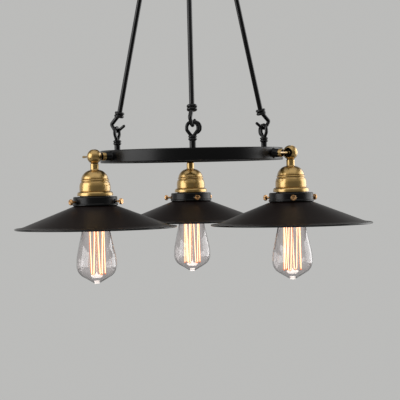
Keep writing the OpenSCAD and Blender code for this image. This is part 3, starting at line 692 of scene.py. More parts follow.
def copper_brass(name):
    """Copper-toned brass of the shade screws."""
    tones = settings().finish
    return turned_metal(name, tones.copper, scaled(tones.copper, 0.4), roughness=0.18)


def contact_brass(name):
    """Bright brass of the screw shells and contacts."""
    tones = settings().finish
    return turned_metal(name, scaled(tones.brass, 1.15), tones.patina_and_shade, roughness=0.24)


def zinc_steel(name):
    """Zinc-plated steel of the ceiling plate, nuts, bulb caps and support wires."""
    tones = settings().finish
    return turned_metal(name, tones.zinc, scaled(tones.zinc, 0.4), roughness=0.3)


def porcelain(name):
    """Glazed ceramic with faint specks."""
    made, paint = material(name)
    tone = settings().finish.porcelain
    specks = paint.step(paint.noise(paint.place(), 1500.0, detail=2.0), 0.66, 0.74)
    flow = paint.noise(paint.place(), 90.0)
    paint.show(paint.shader(
        Base_Color=paint.mix(specks * 0.5, tone, scaled(tone, 0.45)),
        Roughness=0.12 + flow * 0.12,
        Normal=paint.bump(flow, distance=0.2, strength=0.15)))
    return made


def moulded(name, tone, roughness):
    """Moulded plastic or rubber with a fine spark-eroded grain."""
    made, paint = material(name)
    grain = paint.noise(paint.place(), 2200.0, detail=2.0)
    cloud = paint.noise(paint.place(), 70.0)
    paint.show(paint.shader(
        Base_Color=paint.mix(cloud, scaled(tone, 0.85), scaled(tone, 1.15)),
        Roughness=roughness + grain * 0.15,
        Normal=paint.bump(grain, distance=0.03, strength=0.35)))
    return made


def black_rubber(name):
    """Black of the gland, the grommet and the wires' sleeve."""
    return moulded(name, settings().finish.rubber, roughness=0.5)


def ivory_plastic(name):
    """Ivory of the terminal strip."""
    return moulded(name, settings().finish.ivory, roughness=0.35)


def clear_glass(name):
    """Blown glass, slightly uneven, deeper in tone at its rim, with only a faint shadow."""
    made, paint = material(name)
    tone = settings().finish.glass
    flow = paint.noise(paint.place(z=0.4), 55.0, detail=2.0)
    rim = paint.facing() ** 2.2
    glass = paint.shader(
        Base_Color=paint.mix(rim, tone, scaled(tone, 0.3)),
        Roughness=0.0,
        IOR=1.46,
        Transmission_Weight=1.0,
        Normal=paint.bump(flow, distance=0.5, strength=0.05))
    clear = paint.node("ShaderNodeBsdfTransparent")
    shadow = paint.node("ShaderNodeLightPath", output="Is Shadow Ray")
    paint.show(paint.node("ShaderNodeMixShader", None, {0: shadow * 0.9, 1: glass, 2: clear}))
    return made


def mount_glass(name):
    """Milky glass inside a bulb, with a painted glow standing in for the filament's light: strong below
    the filament's lower bends, faint above them.
    """
    made, paint = material(name)
    height = paint.part(paint.place(), "Z")
    hooks = bulb_tip() * MM + settings().bulb.filament_low
    fade = 2 * MM
    above = paint.step(height, hooks - fade, hooks + fade)
    swirl = paint.noise(paint.place(z=0.5), 260.0)
    pale, deep = (0.94, 0.90, 0.88), (0.80, 0.76, 0.74)
    painted_glow, faint_painted_glow = (1.0, 0.94, 0.88), (0.20, 0.12, 0.06)
    paint.show(paint.shader(
        Base_Color=paint.mix(swirl, pale, deep),
        Roughness=0.08 + swirl * 0.12,
        IOR=1.5,
        Transmission_Weight=0.12,
        Emission_Color=paint.mix(above, painted_glow, faint_painted_glow),
        Emission_Strength=0.75))
    return made


def glowing_wire(name):
    """Filament at heat: palest along its middle, more orange at its edge and near its hooks."""
    made, paint = material(name)
    tones = settings().finish
    edge = paint.step(paint.facing(), 0.04, 0.24)
    height = paint.part(paint.place(), "Z")
    low, high = (level * MM for level in lamp_levels("filament_left"))
    fade = 6 * MM
    ends = 1 - paint.step(height, low, low + fade) + paint.step(height, high - fade, high)
    paint.show(paint.shader(
        Base_Color=(0.05, 0.04, 0.03, 1.0),
        Roughness=0.6,
        Emission_Color=paint.mix(ends * 0.5 + edge, tones.glow, tones.ember),
        Emission_Strength=2.8))
    return made


FINISHES = {maker.__name__: maker for maker in (
    black_enamel, rod_enamel, oxide, shade_enamel, antique_brass, copper_brass, contact_brass,
    zinc_steel, porcelain, black_rubber, ivory_plastic, clear_glass, mount_glass, glowing_wire)}


# Hanging parts

def beads(mesh, diameter, bead_length, count=2, place=Matrix()):
    """Collar of round beads that stands on the XY plane of place."""
    bulge = bead_length * 0.3
    outline = [Vector((0, 0))]
    for bead in range(count):
        middle = (diameter / 2 - bulge, (bead + 0.5) * bead_length)
        outline += arc(middle, bead_length / 2, -74, 74, 14)
    outline.append(Vector((0, count * bead_length)))
    lathe(mesh, outline, place, segments=48)


def eye_bolt(mesh, stem_length, place):
    """Eye on its beaded stem, standing on the XY plane of place; its ring and lapped end lie in YZ."""
    size = Millimetres("hanger")
    stem_r = size.stem / 2
    foot = stem_length + 2 * size.bead_length
    lathe(mesh, [
        (0, -0.5), (stem_r, -0.5), (stem_r, stem_length - 0.6, 0.5), (stem_r + 0.8, stem_length + 0.4),
        (0, stem_length + 0.4)], place, segments=48)
    beads(mesh, size.bead, size.bead_length, 2, place @ moved(z=stem_length))
    half = size.eye_width / 2
    middle = foot + 1.2 + half
    seat = foot - 1.0
    knee = middle - 1.5
    lower = rounded([(-half, middle), (-half, knee, 4.0), (-1.6, seat, 0.8), (1.6, seat, 0.8),
                     (half, knee, 4.0), (half, middle)])
    upper = arc((0, middle + size.eye_side), half, 0, 180, 20)
    loop = [(0, point.x, point.y) for point in lower + upper]
    tube(mesh, loop, size.eye_wire / 2, place, closed=True)
    # The free end of the wire laps round the outside of the ring and bends aside.
    steps = 14
    bulge = 3.4
    aside = 1.4
    start, sweep = 70, 122
    lap = []
    for step in range(steps + 1):
        part = step / steps
        away = polar(half + bulge * math.sin(math.pi * part), start - sweep * part)
        lap.append((-aside * part, away.x, away.y + middle + size.eye_side * (1 - part)))
    tube(mesh, lap, size.eye_wire / 2, place, taper=0.8)


def hook_line():
    """Bent line of a hook in its own plane, hung on an eye's wire at the origin."""
    size = Millimetres("hanger")
    play = 0.15
    bend_r = 3.0
    round_r = (size.eye_wire + size.hook_wire) / 2 + play
    bend = Vector((size.hook_reach, 3.0))
    tip = Vector((-11.5, 5.0))
    bend_side = math.atan2(bend.y, bend.x) - math.acos(round_r / bend.length)
    tip_side = math.atan2(tip.y, tip.x) + math.acos(round_r / tip.length) - 2 * math.pi
    away = round_r / math.cos((bend_side - tip_side) / 2)
    foot = polar(away, math.degrees(bend_side + tip_side) / 2)
    start = (0, size.hook_throat + size.hook_wire)
    return rounded([start, (bend.x, bend.y, bend_r), (foot.x, foot.y, round_r), (tip.x, tip.y)])


def hook(mesh, place):
    """Open hook with its beaded collar."""
    size = Millimetres("hanger")
    line = [(point.x, 0, point.y) for point in hook_line()]
    tube(mesh, line, size.hook_wire / 2 * 1.2, place, taper=0.7)
    beads(mesh, size.collar, size.collar_length / 2, 2, place @ moved(z=size.hook_throat))


class CHANDELIER_OT_rose(bpy.types.Operator):
    """Make the ceiling rose, its eyes and its fittings"""

    bl_idname = "chandelier.rose"
    bl_label = "Rose"

    def execute(self, context):
        black = finish("black_enamel")
        low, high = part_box("rose_cover")
        size = Millimetres("hoop")
        r = (high.x - low.x) / 2 / MM
        foot = low.z / MM
        wall = size.rose_wall
        cover = bmesh.new()
        lathe(cover, [
            (0, foot), (r, foot, size.rose_corner), (r, 0, 0.5), (r - wall, 0, 0.4),
            (r - wall, foot + wall, size.rose_corner - wall), (0, foot + wall)], segments=160)
        put("rose_cup", solid("rose_cup", cover, black), "rose", ["rose_cover"])
        eyes = bmesh.new()
        for rod in RODS:
            around = azimuth(pivot("sway_" + rod))
            spot = turned(around) @ moved(pivot("sway_" + rod).xy.length / MM, 0, foot)
            eye_bolt(eyes, Millimetres("hanger").rose_stem_length, spot @ turned(180, "X"))
        put("rose_rings", solid("rose_rings", eyes, black), "rose", ["rose_eyes"])
        coat(finish("zinc_steel"), "rose_plate", "rose_eye_nuts")
        coat(black, "rose_screws")
        coat(finish("black_rubber"), "cord_gland")
        coat(finish("ivory_plastic"), "terminal_block")
        return {"FINISHED"}


class CHANDELIER_OT_rods(bpy.types.Operator):
    """Make the hanger rods with their hooks"""

    bl_idname = "chandelier.rods"
    bl_label = "Rods"

    def execute(self, context):
        size = Millimetres("hanger")
        black = finish("rod_enamel")
        inset = size.hook_throat + size.collar_length - size.rod_seat
        r = size.rod / 2
        for rod in RODS:
            place, span = rod_line(rod)
            shaft = bmesh.new()
            end = span - inset
            lathe(shaft, [(0, inset), (r, inset, 0.4), (r, end, 0.4), (0, end)], place, segments=48)
            put(rod + "_rod", solid(rod + "_rod", shaft, black), "rod_" + rod,
                ["rod_" + rod])
            bent = bmesh.new()
            hook(bent, place @ turned(FRONT_HOOK_TURN if rod == "front" else 0))
            hook(bent, place @ moved(z=span) @ turned(180, "X"))
            put(rod + "_hooks", solid(rod + "_hooks", bent, black), "rod_" + rod,
                ["hooks_" + rod])
        return {"FINISHED"}


class CHANDELIER_OT_hoop(bpy.types.Operator):
    """Make the hoop with its welded bosses, eyes and grommet"""

    bl_idname = "chandelier.hoop"
    bl_label = "Hoop"

    def execute(self, context):
        size = Millimetres("hoop")
        black = finish("black_enamel")
        level = pivot("tilt_left").z / MM
        low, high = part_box("hoop")
        half = (high.z - low.z) / 2 / MM
        r = size.radius
        inner = r - size.depth
        turn = size.corner
        section = [(inner, -half, turn), (r, -half, turn), (r, half, turn), (inner, half, turn)]
        ring = bmesh.new()
        lathe(ring, section, moved(z=level), closed=True, segments=288)
        for side in SIDES:
            around = turned(azimuth(pivot("tilt_" + side)))
            self.boss(ring, around @ moved(r, 0, level) @ turned(90, "Y"))
        put("hoop_ring", solid("hoop_ring", ring, black), "hoop", ["hoop"])
        eyes = bmesh.new()
        for rod in RODS:
            around = turned(azimuth(pivot("sway_" + rod)))
            spot = around @ moved(pivot("hoop_level").xy.length / MM, 0, level + half)
            eye_bolt(eyes, Millimetres("hanger").stem_length, spot @ turned(EYE_TURN[rod]))
        rings = solid("hoop_rings", eyes, finish("rod_enamel"))
        put("hoop_rings", rings, "hoop", ["hoop_eyes"])
        coat(finish("black_rubber"), "hoop_grommet", "hoop_wires")
        return {"FINISHED"}

    def boss(self, mesh, place):
        """Round boss with a rippled weld bead at its foot."""
        size = Millimetres("hoop")
        r = size.boss / 2
        weld = size.weld
        ripples = 26

        def ripple(height, angle):
            """Depth of the weld's ripples."""
            near = max(0.0, 1 - abs(height - weld * 0.4) / weld)
            return 0.22 * near * math.cos(ripples * angle)

        lathe(mesh, [
            (0, -1.0), (r + weld, -1.0), (r + weld, weld * 0.3, 0.6), (r + 0.2, weld, 0.7),
            (r, weld + 0.6), (r, size.boss_length, 0.6), (0, size.boss_length)],
            place, segments=130, wave=ripple)


# Lamps

class CHANDELIER_OT_knuckles(bpy.types.Operator):
    """Make the arms, slotted balls and clamp screws"""

    bl_idname = "chandelier.knuckles"
    bl_label = "Knuckles"

    def execute(self, context):
        size = Millimetres("lamp")
        brass = finish("antique_brass")
        arm = self.arm(size, brass)
        for side in SIDES:
            put(side + "_arm", arm, "hoop", ["arm_" + side], lamp_place(side))
        put_on_lamps("ball", self.ball(size, brass), "ball", lamp_place)
        screw = self.clamp_screw(size, brass)
        put_on_lamps("clamp_screw", screw, "clamp_screw", lamp_place)
        return {"FINISHED"}

    def arm(self, size, brass):
        """Ferrule, black washer and flat tongue, with the tongue's round end at the origin."""
        r = size.ferrule / 2
        run = size.ferrule_length
        groove = r - 0.4
        reach = size.ball / 2 + size.knuckle_gap
        mesh = bmesh.new()
        lathe(mesh, [
            (0, 0), (r - 0.4, 0), (r, 0.5, 0.3), (r, run * 0.7, 0.3), (groove, run * 0.75, 0.2),
            (groove, run * 0.8, 0.2), (r - 0.1, run * 0.85, 0.2), (r - 0.6, run, 0.4), (0, run)],
            moved(-reach - run) @ turned(90, "Y"), segments=64)
        turned_faces = set(mesh.faces)
        washer = 5.2
        thick = size.knuckle_gap - 0.15
        lathe(mesh, [(0, -0.2), (washer, -0.2), (washer, thick, 0.3), (0, thick)],
              moved(-reach) @ turned(90, "Y"), segments=48)
        half = size.tongue_height / 2
        end_r = 5.4
        entry = math.degrees(math.asin(half / end_r))
        root = -reach - 1.5
        outline = [Vector((root, -half))] + arc((0, 0), end_r, entry - 180, 180 - entry, 24)
        outline.append(Vector((root, half)))
        slab(mesh, outline, size.tongue, 0.35)
        second_finish(mesh, turned_faces)
        return solid("arm", mesh, brass, finish("black_enamel"))

    def ball(self, size, brass):
        """Ball with the tongue's slot and the recess for the clamp screw, painted dark as shade, on its
        turned neck.
        """
        r = size.ball / 2
        sphere = bmesh.new()
        lathe(sphere, [(0, r)] + arc((0, 0), r, 86, -86, 44) + [(0, -r)])
        slot = bmesh.new()
        slot_end = 5.9
        bmesh.ops.create_cube(slot, size=1.0, matrix=Matrix.LocRotScale(
            Vector((slot_end - r * 2, 0, r * 2 - size.slot_depth)) * MM, None,
            Vector((r * 4, size.slot, r * 4)) * MM))
        recess = bmesh.new()
        floor = size.recess_floor
        lathe(recess, [(0, floor), (size.recess / 2, floor), (size.recess / 2, r * 2), (0, r * 2)],
              turned(90, "X"))
        mesh = bmesh.new()
        mesh.from_mesh(carved("ball", sphere, [slot, recess], voxel=0.2))
        # The wear shrinks the ball a little; its outside is drawn back to the sphere.
        skin, blend = 0.5, 0.35
        for vertex in mesh.verts:
            away = vertex.co.length / MM
            near = min(1.0, max(0.0, (away - r + skin) / blend))
            vertex.co *= 1 + near * (r / away - 1)
        # The recess is painted dark as shade up to its worn edge.
        for face in mesh.faces:
            spot = face.calc_center_median() / MM
            inside = math.hypot(spot.x, spot.z) < size.recess / 2 + 0.12
            if inside and -r < spot.y < 0.1 - floor and spot.length < r - 0.25:
                face.material_index = 1
        self.neck(mesh, size)
        return solid("ball", mesh, brass, finish("oxide"), sharp=60)

    def neck(self, mesh, size):
        """Neck under the ball, with a groove where the two meet, painted black as a shadow line."""
        r = size.neck / 2
        ball = size.ball / 2
        foot = lamp_levels("bell_left")[1] + 0.2
        ball_faces = set(mesh.faces)
        # The groove's core is painted black as a shadow line.
        lathe(mesh, [(0, 3 - ball), (r - 0.8, 3 - ball), (r - 0.8, 0.2 - ball), (0, 0.2 - ball)])
        second_finish(mesh, ball_faces)
        lathe(mesh, [
            (0, 0.6 - ball), (r - 0.3, 0.6 - ball), (r, 0.2 - ball, 0.3), (r, foot + 0.9, 0.5),
            (r + 0.7, foot, 0.3), (0, foot)])

    def clamp_screw(self, size, brass):
        """Clamp screw with a stout shank out of the recess and a long thumb pin."""
        floor = size.recess_floor
        pin = size.thumb_pin / 2
        tip = size.thumb_pin_reach
        mesh = bmesh.new()
        lathe(mesh, [
            (0, -6.3), (2, -6.3), (2, floor), (2.4, floor, 0.2), (2.4, floor + 0.9, 0.4),
            (1.6, floor + 1.5, 0.3), (1.7, floor + 2.8, 0.8), (2.2, 12.0, 3.0), (2.0, 18.4, 0.7),
            (pin, 19.6, 0.6), (pin, tip - 5.0, 0.3), (pin * 1.15, tip - 4.6, 0.3),
            (pin * 1.15, tip - 0.5, 0.7), (0, tip)], turned(90, "X"), segments=48)
        return solid("clamp_screw", mesh, brass)


class CHANDELIER_OT_bells(bpy.types.Operator):
    """Make the turned brass bells"""

    bl_idname = "chandelier.bells"
    bl_label = "Bells"

    def execute(self, context):
        size = Millimetres("lamp")
        foot = lamp_levels("bell_left")[0]
        r = size.bell
        wall = 1.2
        lip = r + size.bell_flare
        dome = (r - 18.3, foot + 22.1)
        dome_r = 15.8
        crown = foot + 37.9
        mesh = bmesh.new()
        # Crown and dome
        outer = [(5.2, crown), (6.6, crown, 0.2)]
        outer += arc(dome, dome_r, 79, 13, 30)
        # Bead between two grooves
        outer += [(r - 3.6, foot + 25.1, 0.12)]
        outer += arc((r - 3.45, foot + 23.05), 1.6, 68, -66, 16)
        outer += [(r - 2.6, foot + 21.1, 0.12)]
        # Shoulder, wall and notch
        outer += arc((r - 2.6, foot + 18.9), 1.6, 80, 12, 12)
        outer += [(r - 0.1, foot + 15.8, 12.0), (r, foot + 8.2, 0.4), (r - 0.5, foot + 7.6, 0.12)]
        # Flared lip
        outer += arc((r + 0.2, foot + 4.1), 3.0, 80, 8, 14)
        outer += [(lip, foot + 3.2, 0.3), (lip, foot + 1.2, 0.3), (lip - 2.2, foot + 1.0)]
        inner = [(r - wall, foot + 2.2, 0.5), (r - wall, foot + 16.5, 6.0), (r - 3.9, foot + 20.4, 0.8)]
        inner += arc(dome, dome_r - wall - 0.4, 12, 74, 16)
        lathe(mesh, outer + inner, closed=True, segments=128)
        turned_faces = set(mesh.faces)
        # Black ring under the lip, a painted shadow where the lip meets the gallery
        lathe(mesh, [(r - 3.0, foot), (r - 0.6, foot), (r - 0.6, foot + 1.6), (r - 3.0, foot + 1.6)],
              closed=True, segments=128)
        second_finish(mesh, turned_faces)
        bell = solid("bell", mesh, finish("antique_brass"), finish("black_enamel"))
        put_on_lamps("bell", bell, "bell")
        return {"FINISHED"}


class CHANDELIER_OT_galleries(bpy.types.Operator):
    """Make the black galleries and their shade screws"""

    bl_idname = "chandelier.galleries"
    bl_label = "Galleries"

    def execute(self, context):
        size = Millimetres("lamp")
        foot, top = lamp_levels("gallery_left")
        cup = self.cup(size, foot, top)
        screws = self.screws(size, top)
        for side in SIDES:
            place = lamp_place(side) @ turned(GALLERY_TURN[side])
            put(side + "_gallery", cup, "lamp_" + side, ["gallery_" + side], place)
            replaced = ["gallery_screws_" + side]
            put(side + "_shade_screws", screws, "lamp_" + side, replaced, place)
        return {"FINISHED"}

    def cup(self, size, foot, top):
        """Shallow cup with a rolled lower bead and three screw bosses."""
        r = size.gallery / 2
        wall = size.gallery_wall
        bore = size.socket / 2 + 0.2
        mesh = bmesh.new()
        lathe(mesh, [
            (bore, top), (r, top, 1.4), (r, foot + 3.3, 0.3), (r + 0.9, foot + 2.5, 0.8),
            (r + 0.9, foot, 1.2), (r - wall, foot, 0.4), (r - wall, top - wall, 0.9),
            (bore, top - wall)], closed=True, segments=144)
        boss = size.screw_boss / 2
        out = size.screw_boss_length
        for third in THIRDS:
            place = turned(third) @ moved(r, 0, top - size.screw_drop) @ turned(90, "Y")
            lathe(mesh, [
                (0, -0.8), (boss + 0.7, -0.8), (boss + 0.6, 0.3, 0.4), (boss, 0.9, 0.5),
                (boss - 0.15, out, 0.7), (0, out)], place, segments=40)
        return solid("gallery", mesh, finish("black_enamel"))

    def screws(self, size, top):
        """Three shade screws with milled round heads."""
        r = size.screw / 2
        head = size.screw_head / 2
        thick = size.screw_head_length
        start = size.fitter / 2 + 0.2
        stand = size.gallery / 2 + size.screw_stand - start
        end = stand + thick
        notches = 30

        def milling(height, angle):
            """Depth of the notches round a head."""
            if stand + 1 < height < end - 0.7:
                return 0.28 * (0.5 + 0.5 * math.cos(notches * angle))
            return 0

        mesh = bmesh.new()
        for third in THIRDS:
            place = turned(third) @ moved(start, 0, top - size.screw_drop) @ turned(90, "Y")
            lathe(mesh, [
                (0, 0), (r - 0.4, 0), (r, 0.5), (r, stand - 0.6, 0.4), (head * 0.62, stand, 0.3),
                (head * 0.7, stand + 0.8, 0.3), (head, stand + 1.1, 0.2), (head, stand + 2.0),
                (head, end - 0.9), (head * 0.86, end, 0.3), (head * 0.55, end, 0.4),
                (head * 0.48, end - 0.35, 0.3), (0, end - 0.35)], place, segments=120, wave=milling)
        return solid("shade_screws", mesh, finish("copper_brass"))


class CHANDELIER_OT_shades(bpy.types.Operator):
    """Make the cone shades with their rolled edges"""

    bl_idname = "chandelier.shades"
    bl_label = "Shades"

    def execute(self, context):
        size = Millimetres("lamp")
        low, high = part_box("shade_left")
        foot, top = lamp_levels("shade_left")
        roll = size.edge_roll / 2
        edge_r = (high.x - low.x) / 2 / MM - roll
        wall = size.shade_wall
        neck = size.fitter / 2
        slope = math.tan(math.radians(21.4))
        brim_slope = math.tan(math.radians(11))
        edge = foot + roll + wall / 2
        cone_r = edge_r - size.brim
        cone_foot = edge + size.brim * brim_slope
        cone_top = cone_foot + (cone_r - neck) * slope
        lip = neck + 1.4
        outer = [(neck - wall, top), (lip, top, 0.4), (lip, top - 1.2, 0.4), (neck, top - 1.2, 0.3),
                 (neck, cone_top, 1.2), (cone_r, cone_foot, 30.0)]
        outer += arc((edge_r, foot + roll), roll, 115, -165, 24)
        inner = [(cone_r, cone_foot - wall * 1.06, 30.0), (neck - wall, cone_top - wall * 0.7, 1.2)]
        mesh = bmesh.new()
        lathe(mesh, outer + inner, closed=True, segments=224)
        for face in mesh.faces:
            in_roll = face.calc_center_median().xy.length > (edge_r - roll) * MM
            face.material_index = 1 if in_roll else 0
        data = solid("shade", mesh, finish("shade_enamel"), finish("rod_enamel"))
        put_on_lamps("shade", data, "shade")
        return {"FINISHED"}


class CHANDELIER_OT_sockets(bpy.types.Operator):
    """Make the ceramic sockets and finish their metal"""

    bl_idname = "chandelier.sockets"
    bl_label = "Sockets"

    def execute(self, context):
        size = Millimetres("lamp")
        foot, top = lamp_levels("socket_left")
        flange_top = lamp_levels("gallery_left")[1] - size.gallery_wall
        r = size.socket / 2
        flange = size.socket_flange / 2
        bore = 14.0
        hole = 5.0
        roof = top - 5
        flange_foot = flange_top - 2.4
        mesh = bmesh.new()
        lathe(mesh, [
            (hole, top, 0.4), (r - 3, top, 1.0), (r, top - 4, 1.5), (r, flange_top),
            (flange, flange_top, 0.5), (flange, flange_foot, 0.8), (r, flange_foot, 0.6), (r, foot, 1.0),
            (bore, foot, 0.8), (bore, roof, 0.8), (hole, roof)], closed=True)
        put_on_lamps("socket", solid("socket", mesh, finish("porcelain")), "socket")
        coat(finish("contact_brass"), *on_lamps("screw_shell", "contact"))
        return {"FINISHED"}


class CHANDELIER_OT_bulbs(bpy.types.Operator):
    """Make the bulbs with their glass mounts and glowing filaments"""

    bl_idname = "chandelier.bulbs"
    bl_label = "Bulbs"

    def execute(self, context):
        size = Millimetres("bulb")
        put_on_lamps("bulb", self.glass(size), "bulb_glass")
        put_on_lamps("bulb_foot", self.mount(size), "bulb_mount")
        put_on_lamps("support_wires", self.supports(size), None, bulb_place)
        put_on_lamps("filament", self.filament(size), "filament", bulb_place)
        coat(finish("zinc_steel"), *on_lamps("bulb_cap"))
        return {"FINISHED"}

    def outline(self, size, inset):
        """Outline of the glass from its tip to its neck, set in from the outside."""
        tip, top = lamp_levels("bulb_glass_left")
        rim = lamp_levels("bulb_cap_left")[0] - tip
        low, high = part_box("bulb_glass_left")
        r = (high.x - low.x) / 2 / MM
        neck = size.neck / 2
        belly = Vector((r - size.belly_arc, size.belly_height))
        flank = Vector((r - size.flank_arc, size.belly_height))
        corner = Vector((neck, rim - 0.5)) - flank
        turn = math.degrees(math.atan2(corner.y, corner.x) - math.acos(size.flank_arc / corner.length))
        # The cone under the belly runs in to the pinch over the sealed tip.
        under = 60
        bottom = arc(belly, size.belly_arc - inset, -under, 0, 24)
        nub = size.nub / 2
        pinch = nub + 1.0
        way = polar(1.0, 90 - under)
        run = (bottom[0].x - pinch) / way.x
        pinched = bottom[0] - way * run
        if inset:
            start = [(0, pinched.y - 0.3), (pinched.x * 0.5, pinched.y - 0.2)]
        else:
            start = [(point.x * nub, point.y * 1.9) for point in arc((0, 1), 1, -90, -8, 12)]
        corners = start + [(pinched.x, pinched.y, 1.0)] + bottom
        corners += arc(flank, size.flank_arc - inset, 0.5, turn, 14)
        corners += [(neck - inset, rim - 0.5, 12.0), (neck - inset, top - tip)]
        return [Vector((point.x, point.y + tip)) for point in rounded([tuple(c) for c in corners])]

    def glass(self, size):
        """Teardrop of thin glass with its sealed tip."""
        mesh = bmesh.new()
        skin = self.outline(size, 0) + self.outline(size, size.glass)[::-1]
        lathe(mesh, skin, segments=128)
        return solid("bulb", mesh, finish("clear_glass"), sharp=60)

    def mount(self, size):
        """Glass foot, rod, the two buttons that hold the supports and the milky drop in the tip."""
        top = lamp_levels("bulb_mount_left")[1]
        base = bulb_tip()
        low = base + size.filament_low - 4.6
        high = base + size.filament_high + 3
        mesh = bmesh.new()
        lathe(mesh, [
            (0, low - 2.2), (6.4, low - 2.2, 1.4), (8.6, low - 0.4, 1.0), (7.8, low + 1.6, 0.9),
            (2.4, low + 2.0, 0.8), (1.0, low + 3.4, 1.0),
            (1.0, high - 2.8, 1.2), (2.4, high - 2, 0.6), (3.2, high, 0.8), (2.6, high + 2.4, 1.0),
            (4.2, high + 8, 6.0), (11.6, top - 2, 1.0), (11.6, top), (0, top)], segments=64)
        lathe(mesh, [
            (0, base + 0.6), (1.8, base + 0.6, 1.0), (3.6, base + 3.0, 2.0), (4.5, base + 4.6, 0.6),
            (0, base + 5.2)], segments=48)
        # The mount's glass carries a painted glow of the filament's light.
        return solid("bulb_foot", mesh, finish("mount_glass"), sharp=60)

    def bend_point(self, size, number, angle):
        """Point on a bend of the filament; even bends hang above, odd ones below."""
        low = number % 2 == 1
        drawn_in = 0 if low else 0.5
        reach = size.filament_radius - drawn_in
        bend_r = 1.9
        swing = polar(bend_r, angle)
        lead = math.degrees(math.atan(swing.x / reach))
        turn = 180 * number / (settings().bulb.filament_bends + 1) + lead
        level = size.filament_low + swing.y if low else size.filament_high - swing.y
        flat = polar(reach, turn)
        return Vector((flat.x, flat.y, level + bulb_tip()))

    def supports(self, size):
        """Thin wires from the buttons to the bends of the filament."""
        base = bulb_tip()
        wire = 0.28
        button = 2.2
        sag = 0.6
        reach = size.wire / 2 + wire
        mesh = bmesh.new()
        for number in range(2 * settings().bulb.filament_bends + 1):
            low = number % 2 == 1
            way = -1 if low else 1
            level = base + (size.filament_low - 2.6 if low else size.filament_high + 3)
            end = self.bend_point(size, number, 270) + Vector((0, 0, way * reach))
            start = Vector((0, 0, level)) + Vector((end.x, end.y, 0)).normalized() * button
            middle = (start + end) / 2 + Vector((0, 0, way * sag))
            tube(mesh, [start, middle, end], wire, sides=8)
        return solid("support_wires", mesh, finish("zinc_steel"))

    def filament(self, size):
        """Zig-zag filament between the upper and the lower supports."""
        path = []
        for number in range(2 * settings().bulb.filament_bends + 1):
            for angle in range(180, 361, 30):
                path.append(self.bend_point(size, number, angle))
        mesh = bmesh.new()
        tube(mesh, path, size.wire / 2, sides=10)
        return solid("filament", mesh, finish("glowing_wire"))


# Stage

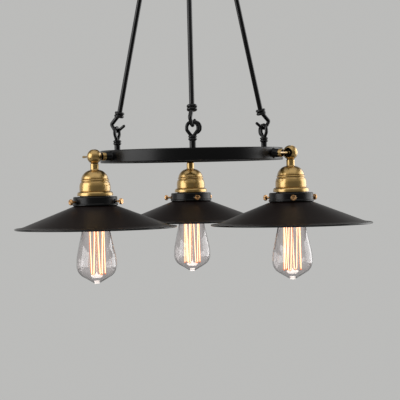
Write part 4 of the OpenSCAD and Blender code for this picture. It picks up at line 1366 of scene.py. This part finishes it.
class CHANDELIER_OT_stage(bpy.types.Operator):
    """Set up the camera, the soft lights and the pale floor"""

    bl_idname = "chandelier.stage"
    bl_label = "Stage"

    def execute(self, context):
        scene = context.scene
        scene.view_settings.view_transform = "Standard"
        scene.camera = self.camera()
        self.floor()
        self.backdrop(scene)
        stage = settings().stage
        self.softbox("left_light", stage.left_light,
                     angle=-70, rise=0.45, away=2.0, wide=1.8, tall=1.7)
        self.softbox("right_light", stage.right_light,
                     angle=110, rise=0.35, away=2.0, wide=2.3, tall=1.7)
        self.softbox("top_light", stage.top_light,
                     angle=0, rise=1.9, away=0.4, wide=3.0, tall=3.0)
        return {"FINISHED"}

    def camera(self):
        """Camera at the photograph's place; angles in degrees, roll about the line of sight."""
        yaw, pitch, roll = (math.radians(angle) for angle in (1.118, 0.896, -1.196))
        focal_pixels = 1505.4
        picture_pixels = 400.0
        flat = math.cos(pitch)
        ahead = Vector((math.sin(yaw) * flat, math.cos(yaw) * flat, -math.sin(pitch)))
        level = Vector((math.cos(yaw), -math.sin(yaw), 0))
        upright = level.cross(ahead)
        right = level * math.cos(roll) + upright * math.sin(roll)
        up = upright * math.cos(roll) - level * math.sin(roll)
        data = bpy.data.cameras.new("camera")
        data.sensor_width = 36.0
        data.lens = data.sensor_width * focal_pixels / picture_pixels
        made = linked("camera", data)
        made.matrix_world = Matrix((right, up, -ahead)).transposed().to_4x4()
        made.location = (-0.0322, -2.211, -0.5012)
        return made

    def floor(self):
        """Round pale floor far below the lamps."""
        made, paint = material("pale_floor")
        tone = settings().stage.backdrop
        cloud = paint.noise(paint.place(), 3.0, detail=4.0)
        paint.show(paint.shader(
            Base_Color=paint.mix(cloud, scaled(tone, 0.97), scaled(tone, 1.03)),
            Roughness=0.8))
        mesh = bmesh.new()
        level = -settings().stage.floor_level / MM
        middle_r, rim_r = 1500, 3400
        lathe(mesh, [(0, 0), (middle_r, 0), (rim_r, 0)], moved(z=level))
        linked("floor", solid("floor", mesh, made))

    def backdrop(self, scene):
        """Pale backdrop for the camera and through the glass; in reflections the studio is dim in
        front, with a lit ceiling, and dark high up behind."""
        stage = settings().stage
        scene.world = bpy.data.worlds.new("studio")
        scene.world.use_nodes = True
        paint = Paint(scene.world.node_tree)
        ray = paint.node("ShaderNodeTexCoord", output="Generated")
        behind = paint.step(paint.part(ray, "Y"), -0.5, 0.7)
        rise = paint.part(ray, "Z")
        front = paint.mix(paint.step(rise, 0.1, 0.7), stage.room, stage.ceiling)
        back = paint.mix(paint.step(rise, 0.22, 0.6), stage.backdrop, scaled(stage.room, 0.15))
        seen = paint.node("ShaderNodeLightPath", output="Is Camera Ray")
        through = paint.node("ShaderNodeLightPath", output="Is Transmission Ray")
        tone = paint.mix(seen + through, paint.mix(behind, front, back), stage.backdrop)
        glow = paint.node("ShaderNodeBackground", None, {0: tone, 1: 1.0})
        paint.show(glow, "ShaderNodeOutputWorld")

    def softbox(self, name, watts, angle, rise, away, wide, tall):
        """Soft light the camera doesn't see; angle in degrees from the viewer, lengths in metres."""
        data = bpy.data.lights.new(name, "AREA")
        data.shape = "RECTANGLE"
        data.size = wide
        data.size_y = tall
        data.energy = watts
        made = linked(name, data)
        made.visible_camera = False
        under_hoop = 0.05
        target = Vector((0, 0, pivot("tilt_left").z - under_hoop))
        side = math.radians(angle)
        spot = target + Vector((math.sin(side) * away, -math.cos(side) * away, rise))
        aim = (target - spot).to_track_quat("-Z", "Y").to_matrix().to_4x4()
        made.matrix_world = Matrix.Translation(spot) @ aim


class CHANDELIER_PT_sidebar(bpy.types.Panel):
    """Sizes, colours and steps of the chandelier"""

    bl_idname = "CHANDELIER_PT_sidebar"
    bl_label = "Chandelier"
    bl_space_type = "VIEW_3D"
    bl_region_type = "UI"
    bl_category = "Chandelier"

    def draw(self, context):
        for name in ("hanger", "hoop", "lamp", "bulb", "finish", "stage"):
            group = getattr(context.scene.chandelier, name)
            box = self.layout.box()
            box.label(text=name.capitalize())
            for prop in group.bl_rna.properties:
                if prop.identifier not in ("rna_type", "name"):
                    box.prop(group, prop.identifier)
        for step in STEPS:
            self.layout.operator(step.bl_idname)


GROUPS = (HangerSizes, HoopSizes, LampSizes, BulbSizes, FinishColours, StageSettings, ChandelierSettings)
STEPS = (CHANDELIER_OT_stage, CHANDELIER_OT_rose, CHANDELIER_OT_rods, CHANDELIER_OT_hoop,
         CHANDELIER_OT_knuckles, CHANDELIER_OT_bells, CHANDELIER_OT_galleries, CHANDELIER_OT_shades,
         CHANDELIER_OT_sockets, CHANDELIER_OT_bulbs)
CLASSES = (*GROUPS, *STEPS, CHANDELIER_PT_sidebar)


def register():
    for item in CLASSES:
        bpy.utils.register_class(item)
    bpy.types.Scene.chandelier = PointerProperty(type=ChandelierSettings)


def unregister():
    del bpy.types.Scene.chandelier
    for item in reversed(CLASSES):
        bpy.utils.unregister_class(item)


def main():
    """Builds the chandelier step by step."""
    register()
    bpy.ops.chandelier.stage()
    bpy.ops.chandelier.rose()
    bpy.ops.chandelier.rods()
    bpy.ops.chandelier.hoop()
    bpy.ops.chandelier.knuckles()
    bpy.ops.chandelier.bells()
    bpy.ops.chandelier.galleries()
    bpy.ops.chandelier.shades()
    bpy.ops.chandelier.sockets()
    bpy.ops.chandelier.bulbs()


if __name__ == "__main__":
    main()
